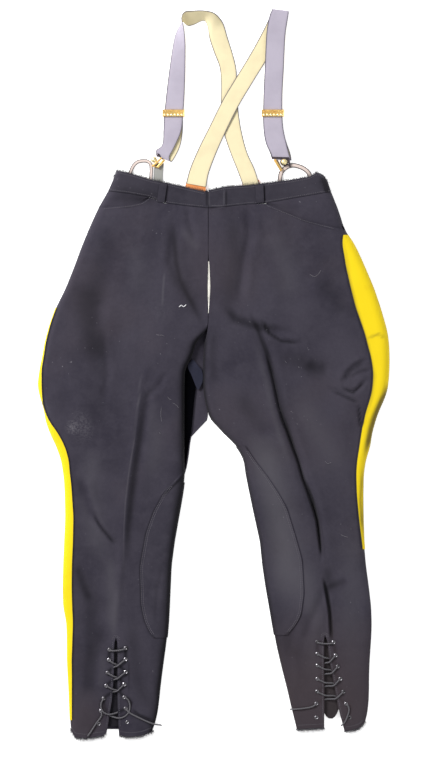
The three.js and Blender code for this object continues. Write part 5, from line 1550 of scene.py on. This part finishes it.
def make_fluff():
    """Lint and short loose hairs: a mask from 0 to 1."""
    tree, n, given, out = shader_group("fluff", {"Density": 60.0, "Amount": 0.5}, ["Mask"])
    bent = n.noise(given["Vector"], 45.0, 2.0)
    shifted = n.add("ShaderNodeVectorMath", operation="ADD")
    tree.links.new(given["Vector"], shifted.inputs[0])
    scaled = n.add("ShaderNodeVectorMath", {1: (0.02, 0.02, 0.02)}, operation="MULTIPLY")
    tree.links.new(bent["Color"], scaled.inputs[0])
    tree.links.new(scaled.outputs[0], shifted.inputs[1])
    links = {"Scale": given["Density"], "Vector": shifted.outputs[0]}
    cells = n.add("ShaderNodeTexVoronoi", {"Randomness": 1.0}, links)
    speck = n.ramp(cells.outputs["Distance"], 0.09, 0.03)
    some = n.ramp(n.noise(given["Vector"], 9.0, 3.0)["Fac"], 0.5, 0.68)
    mask = n.math("MULTIPLY", n.math("MULTIPLY", speck, some), given["Amount"])
    tree.links.new(mask, out["Mask"])
    return tree


def make_patches():
    """Broad soft patches where cloth has faded or been rubbed."""
    tree, n, given, out = shader_group("patches", {"Size": 7.0, "Contrast": 0.5}, ["Mask"])
    links = {"Vector": given["Vector"], "Scale": given["Size"]}
    slow = n.add("ShaderNodeTexNoise", {"Detail": 4.0, "Roughness": 0.55}, links)
    centred = n.math("SUBTRACT", slow.outputs["Fac"], 0.5)
    tree.links.new(n.math("ADD", n.math("MULTIPLY", centred, given["Contrast"]), 0.5), out["Mask"])
    return tree


TWILL, FLUFF, PATCHES = make_twill(), make_fluff(), make_patches()
# colours toward which the painted shade and the painted light are mixed
PAINTED_SHADE_COLOUR, PAINTED_LIGHT_COLOUR = (0.0035, 0.003, 0.0055), (0.105, 0.10, 0.115)


def new_material(name, roughness, metallic=0.0, sheen=0.0, coat=0.0, specular=0.5):
    """A material, its nodes and its shader."""
    material = bpy.data.materials.new(name)
    material.use_nodes = True
    tree = material.node_tree
    shader = tree.nodes["Principled BSDF"]
    values = {"Roughness": roughness, "Metallic": metallic, "Sheen Weight": sheen, "Sheen Roughness": 0.5}
    values.update({"Coat Weight": coat, "Specular IOR Level": specular})
    for key, value in values.items():
        shader.inputs[key].default_value = value
    return material, Nodes(tree), shader


def use_group(n, tree, vector, **values):
    """Outputs of a shader group that is given a vector and values."""
    node = n.add("ShaderNodeGroup", node_tree=tree)
    n.tree.links.new(vector, node.inputs["Vector"])
    for key, value in values.items():
        node.inputs[key].default_value = value
    return node.outputs


def bump(n, shader, height, strength, distance):
    node = n.add("ShaderNodeBump", {"Strength": strength, "Distance": distance}, {"Height": height})
    n.tree.links.new(node.outputs[0], shader.inputs["Normal"])


def with_painted_shade(n, colour, deep, pale):
    """The colour laid dark by painted shade and pale by painted light, as the cloth's point attribute gives
    them.
    """
    shade_paint = n.add("ShaderNodeAttribute", attribute_name="shade_paint").outputs["Fac"]
    colour = n.wash(colour, deep, shade_paint, 0.0, -1.0, 0.93)
    return n.wash(colour, pale, shade_paint, 0.0, 1.0, 0.75)


def cloth(
    name, dark, light, ribs=620.0, fluff=0.5, sheen=0.05, depth=0.0006, rubs=(), specular=0.2, warm=None
):
    """Wool cloth: twill, faded patches, lint, painted shade and light from a point attribute, and chalky rubs
    at given places.
    """
    material, n, shader = new_material(name, 0.92, sheen=sheen, specular=specular)
    where = n.add("ShaderNodeTexCoord")
    vector = where.outputs["Object"]
    twill = use_group(n, TWILL, where.outputs["UV"], Ribs=ribs, Uneven=1.6)
    faded = use_group(n, PATCHES, vector, Size=6.5, Contrast=2.2)
    colour = n.mix(n.ramp(faded["Mask"], 0.2, 0.8), dark, light)
    mottled = use_group(n, PATCHES, vector, Size=38.0, Contrast=2.4)
    colour = n.wash(colour, light, mottled["Mask"], 0.35, 0.8, 0.5)
    drawn = n.add("ShaderNodeVectorMath", {1: (1.0, 0.22, 1.0)}, {0: vector}, operation="MULTIPLY")
    streaks = use_group(n, PATCHES, drawn.outputs[0], Size=26.0, Contrast=3.0)
    colour = n.wash(colour, dark, streaks["Mask"], 0.55, 1.2, 0.45)
    worn = use_group(n, PATCHES, vector, Size=4.0, Contrast=3.0)
    colour = n.wash(colour, warm or light, worn["Mask"], 0.5, 1.1, 0.4)
    shade = n.ramp(twill["Shade"], 0.3, 0.7)
    colour = n.mix(0.3, colour, n.mix(shade, dark, light))
    # painted shade and painted light from the point attribute
    colour = with_painted_shade(n, colour, PAINTED_SHADE_COLOUR, PAINTED_LIGHT_COLOUR)
    specks = use_group(n, FLUFF, vector, Density=75.0, Amount=fluff)
    colour = n.mix(specks["Mask"], colour, (0.30, 0.29, 0.32))
    for place, radius, weight in rubs:
        near = n.ramp(n.distance(vector, place), radius, 0.0)
        cloud = n.ramp(n.noise(vector, 260.0, 5.0, 0.8)["Fac"], 0.42, 0.8)
        mask = n.math("MULTIPLY", n.math("MULTIPLY", near, cloud), weight)
        colour = n.mix(mask, colour, (0.22, 0.21, 0.23))
    for place, radius, weight in BROWNED if warm else ():
        colour = n.wash(colour, warm, n.distance(vector, place), radius, radius * 0.3, weight)
    n.tree.links.new(colour, shader.inputs["Base Color"])
    bump(n, shader, twill["Height"], 0.35, depth)
    return material


def felt(name, colour, shadow, roughness=0.8, shaded=None):
    """Smooth felted cloth of one strong colour, with painted shade in a shaded colour where the point
    attribute asks for it.
    """
    material, n, shader = new_material(name, roughness, sheen=0.05, specular=0.25)
    where = n.add("ShaderNodeTexCoord")
    twill = use_group(n, TWILL, where.outputs["Object"], Ribs=900.0, Uneven=4.0)
    faded = use_group(n, PATCHES, where.outputs["Object"], Size=16.0, Contrast=1.6)
    tone = n.mix(n.ramp(faded["Mask"], 0.55, 0.95), colour, shadow)
    # painted shade, when a shaded colour is given
    if shaded:
        tone = with_painted_shade(n, tone, shaded, colour)
    n.tree.links.new(tone, shader.inputs["Base Color"])
    bump(n, shader, twill["Height"], 0.25, 0.0004)
    return material


def webbing(name, colour, edge, line, rim=0.445):
    """Woven elastic: fine cross ribs, a line inside each edge, darker selvedges; on the round runner cord the
    dark edges are painted shade of its roundness.
    """
    material, n, shader = new_material(name, 0.7, sheen=0.05, specular=0.25)
    where = n.add("ShaderNodeTexCoord")
    across = n.add("ShaderNodeSeparateXYZ", None, {0: where.outputs["UV"]})
    u, v = across.outputs[0], across.outputs[1]
    side = n.math("ABSOLUTE", n.math("SUBTRACT", u, 0.5))
    ribs = n.math("SINE", n.math("MULTIPLY", v, 2 * math.pi / 0.0017))
    warp = n.math("SINE", n.math("MULTIPLY", u, 2 * math.pi * 26))
    height = n.weighted(ribs, 0.5, warp, 0.3)
    faded = use_group(n, PATCHES, where.outputs["Object"], Size=22.0, Contrast=1.2)
    tone = n.wash(colour, edge, faded["Mask"], 0.45, 1.0, 0.8)
    tone = n.wash(tone, edge, ribs, -1, 1, 0.12)
    tone = n.wash(tone, edge, side, rim - 0.065, rim - 0.005, 0.5)
    tone = n.mix(n.ramp(side, rim, rim + 0.02), tone, line)
    n.tree.links.new(tone, shader.inputs["Base Color"])
    bump(n, shader, height, 0.35, 0.0003)
    return material


def metal(name, colour, tarnish, roughness):
    """Metal with soft patches of tarnish."""
    material, n, shader = new_material(name, roughness, metallic=1.0)
    where = n.add("ShaderNodeTexCoord")
    faded = use_group(n, PATCHES, where.outputs["Object"], Size=120.0, Contrast=2.4)
    mask = n.ramp(faded["Mask"], 0.35, 0.95)
    n.tree.links.new(n.mix(mask, colour, tarnish), shader.inputs["Base Color"])
    n.tree.links.new(n.math("ADD", n.math("MULTIPLY", mask, 0.25), roughness), shader.inputs["Roughness"])
    bump(n, shader, faded["Mask"], 0.2, 0.0003)
    return material


def leather(name, colour, dark):
    """Grained leather, darker in places."""
    material, n, shader = new_material(name, 0.5, coat=0.08)
    where = n.add("ShaderNodeTexCoord")
    vector = where.outputs["Object"]
    cells = n.add("ShaderNodeTexVoronoi", {"Scale": 900.0}, {"Vector": vector})
    faded = use_group(n, PATCHES, vector, Size=60.0, Contrast=2.0)
    n.tree.links.new(n.mix(n.ramp(faded["Mask"], 0.3, 0.9), colour, dark), shader.inputs["Base Color"])
    bump(n, shader, cells.outputs["Distance"], 0.3, 0.0003)
    return material


def braid(name, colour, dark):
    """Round braid: two spiral strands crossing round the cord, with painted shade where they dip."""
    material, n, shader = new_material(name, 0.7, sheen=0.2)
    where = n.add("ShaderNodeTexCoord")
    axes = n.add("ShaderNodeSeparateXYZ", None, {0: where.outputs["UV"]})
    turn = n.math("MULTIPLY", axes.outputs[0], 2 * math.pi * 3)
    run = n.math("MULTIPLY", axes.outputs[1], 2 * math.pi / 0.004)
    one = n.math("SINE", n.math("ADD", run, turn))
    two = n.math("SINE", n.math("SUBTRACT", run, turn))
    height = n.math("MAXIMUM", one, two)
    # painted shade: darker where the strands dip between each other
    n.tree.links.new(n.mix(n.ramp(height, -0.6, 1.0), dark, colour), shader.inputs["Base Color"])
    bump(n, shader, height, 0.5, 0.0003)
    return material


DARK, LIGHT = (0.024, 0.021, 0.033), (0.047, 0.042, 0.058)
# where cloth is rubbed chalky and where it has browned: place, radius, strength
RUBS = [
    ((-0.268, -0.103, 0.02), 0.016, 0.9), ((-0.246, -0.11, 0.02), 0.028, 0.3),
    ((-0.252, -0.088, 0.02), 0.026, 0.28), ((-0.1, 0.12, 0.02), 0.03, 0.12), ((0.13, -0.31, 0.02), 0.02, 0.3),
]
WARM = (0.050, 0.038, 0.043)
BROWNED = [((0.2, -0.63, 0.02), 0.2, 0.7), ((-0.25, -0.66, 0.02), 0.07, 0.5), ((0.0, 0.2, 0.02), 0.1, 0.2)]
WOOL = cloth("wool_twill", DARK, LIGHT, rubs=RUBS, warm=WARM)
WOOL_BACK = cloth("wool_twill_back", DARK, LIGHT, fluff=0.3)
BAND = cloth("band_twill", (0.020, 0.018, 0.027), (0.040, 0.036, 0.049), fluff=0.35)
SUEDE_DARK, SUEDE_LIGHT = (0.027, 0.024, 0.036), (0.049, 0.044, 0.060)
PATCH = cloth("suede_cloth", SUEDE_DARK, SUEDE_LIGHT, ribs=1100.0, fluff=0.35, depth=0.0003, warm=WARM)
# near-black copy of the twill: painted shade of the right tongue deep in its vent; the side loop is cut from
# it too
TONGUE = cloth("tongue_cloth", (0.008, 0.007, 0.011), (0.018, 0.016, 0.022), fluff=0.4)
TONGUE_WORN = cloth("tongue_cloth_worn", (0.024, 0.019, 0.021), (0.042, 0.034, 0.037), fluff=0.4)
# near-black cloth without sheen: painted shadow for the strip in the slot at the fork
SHADOWED = cloth(
    "painted_shadow_cloth", (0.0008, 0.0008, 0.001), (0.002, 0.002, 0.003), fluff=0.0, sheen=0.0, specular=0.0
)
# darker, bluish copy of the twill: painted shade on the gusset down at the fork
GUSSET_SHADED = cloth("gusset_twill_shaded", (0.012, 0.013, 0.026), (0.022, 0.023, 0.040), fluff=0.1)
LINING = felt("cotton_lining", (0.98, 0.95, 0.86), (0.94, 0.88, 0.76))
# the stripe's shaded olive is painted shade on its folds and edges
YELLOW = felt("yellow_felt", (0.82, 0.61, 0.004), (0.72, 0.48, 0.004), shaded=(0.13, 0.095, 0.012))
LAVENDER = webbing("lavender_elastic", (0.41, 0.375, 0.45), (0.32, 0.29, 0.355), (0.11, 0.10, 0.125))
CREAM = webbing("cream_elastic", (0.75, 0.665, 0.425), (0.60, 0.51, 0.33), (0.13, 0.12, 0.12))
GREY_TAPE = webbing("grey_tape", (0.30, 0.30, 0.28), (0.22, 0.22, 0.21), (0.15, 0.15, 0.15))
BRASS = metal("brass", (1.0, 0.68, 0.24), (0.60, 0.34, 0.10), 0.36)
# paler brass for raised lips and domes: rubbed brass, and partly a painted highlight
BRASS_PALE = metal("rubbed_and_highlit_brass", (1.0, 0.90, 0.52), (0.95, 0.72, 0.34), 0.42)
BRASS_DARK = metal("oxidised_brass", (0.10, 0.08, 0.09), (0.03, 0.025, 0.03), 0.4)
NICKEL = metal("nickel", (0.25, 0.24, 0.26), (0.05, 0.047, 0.052), 0.3)
# runner cord: pale middle and dark edges, the painted shade of a round cord on a flat band
RUNNER = webbing("runner_cord", (0.68, 0.57, 0.52), (0.40, 0.32, 0.30), (0.055, 0.045, 0.045), 0.29)
TAB = leather("tab_leather", (0.92, 0.33, 0.09), (0.72, 0.23, 0.06))
LACING = braid("lace_braid", (0.12, 0.113, 0.13), (0.02, 0.018, 0.022))
THREAD = braid("sewing_thread", (0.16, 0.15, 0.175), (0.08, 0.075, 0.09))
THREAD_PALE = braid("pale_thread", (0.17, 0.16, 0.18), (0.10, 0.095, 0.11))
THREAD_DARK = braid("worn_nap", (0.05, 0.045, 0.06), (0.02, 0.018, 0.025))
# near-black thread laid thick along the stripe's seam, painted shadow at its edge
SEAM_SHADOW_BLACK = braid("stripe_seam_shadow_thread", (0.014, 0.012, 0.016), (0.006, 0.005, 0.008))
LINT = braid("white_lint", (0.85, 0.84, 0.86), (0.6, 0.6, 0.62))
FLOOR = felt("pale_floor", (0.95, 0.95, 0.95), (0.94, 0.94, 0.94), 0.6)
floor_shader = FLOOR.node_tree.nodes["Principled BSDF"]
floor_shader.inputs["Emission Color"].default_value = (1.0, 1.0, 1.0, 1.0)
floor_shader.inputs["Emission Strength"].default_value = 0.6


# ---- laces first, then the garment ----
for side, points in LACES.items():
    make_lace(side, points, LACING)

for leg in (RIGHT, LEFT):
    front_panel(leg, WOOL)
    back_panel(leg, WOOL_BACK)
    band_front(leg, BAND)
    hip_facing(leg, WOOL)
    side_stripe(leg, YELLOW)
    knee_patch(leg, PATCH)
    # the right tongue in near-black cloth, painted shade deep in the vent
    vent_tongue(leg, TONGUE if leg is RIGHT else TONGUE_WORN)
band_back(BAND)
fly_strip(BAND, LINING)
# painted shadow: a near-black strip standing in the slot beside the right front
between("slot_shadow_strip", SLOT_SHADOW_ROWS, SLOT_SHADOW_WALL, SHADOWED)
# the gusset in cloth darkened as painted shade
between("seat_gusset", GUSSET_ROWS, GUSSET_WALL, GUSSET_SHADED)
belt_loop("loop_right", RIGHT, (-94, 360.5), (-99.5, 324.5), 14, BAND)
belt_loop("loop_left", LEFT, (88, 357), (89.5, 323.5), 15, BAND)
belt_loop("loop_side", LEFT, (209, 370), (216, 346), 8, TONGUE)

ribbon("strap_right", STRAP_A, WEB, 5, 11, LAVENDER, CREAM, ["brace_strap_right"])
ribbon("strap_left", STRAP_B, WEB, 5, 11, LAVENDER, CREAM, ["brace_strap_left"])
for side, path, width in (("right", RUN_A, 6.6), ("left", RUN_B, 8.6)):
    edges = band_rows(path, width, 3.05)
    node = "brace_runner_" + side
    ribbon("runner_" + side, edges, RUNNER_CORD, 4, 9, RUNNER, RUNNER, [node])
edges = band_rows(TAPE, 17.5)
ribbon("tape_right", edges, TAPE_WALL, 5, 7, GREY_TAPE, GREY_TAPE, ["brace_tape_right"])
ribbon("tab_of_strap_left", TAB_B, TAB_WALL, 5, 7, TAB, TAB, ["brace_tab_right"])
ribbon("tab_of_strap_right", TAB_A, TAB_WALL, 5, 7, TAB, TAB, ["brace_tab_left"])

for node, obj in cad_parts.items():
    if node.startswith("brace_slider"):
        obj.data.materials.clear()
        obj.data.materials.append(BRASS)

for leg in (RIGHT, LEFT):
    sew(leg)

# worn pile at the edges, and loose threads
for leg in (RIGHT, LEFT):
    edge_fuzz("hem_fuzz_" + leg["name"], leg, leg["hem"], (0, -1, 0), *HEM_FRINGE, THREAD_DARK)
    edge_fuzz("waist_fuzz_" + leg["name"], leg, leg["top"], (0, 1, 0), *WAIST_FRINGE, THREAD_DARK)
for i, (leg, radius, points) in enumerate(THREADS):
    lint("lint_%d" % (i + 1), leg, points, radius, LINT if radius > 0.5 else THREAD_PALE)

for side in ("right", "left"):
    slider_face(side, BRASS, BRASS_PALE)
brace_clips(BRASS, BRASS_PALE, BRASS_DARK)
eyelets(NICKEL)

# ---- floor and light ----
floor = primitive("plane", FLOOR, size=8.0, location=(0, 0, 0))
floor.name = "floor"
soft_box("key_light", (-2.3, 1.9, 2.3), (0, 0, 0), (1.3, 1.3), 175)
soft_box("fill_light", (2.0, -1.6, 3.0), (0, 0, 0), (2.4, 2.4), 38)
world = bpy.data.worlds.new("studio")
world.use_nodes = True
background = world.node_tree.nodes["Background"]
background.inputs["Color"].default_value = (1.0, 1.0, 1.0, 1.0)
background.inputs["Strength"].default_value = 0.42
bpy.context.scene.world = world
bpy.context.scene.view_settings.view_transform = "Standard"
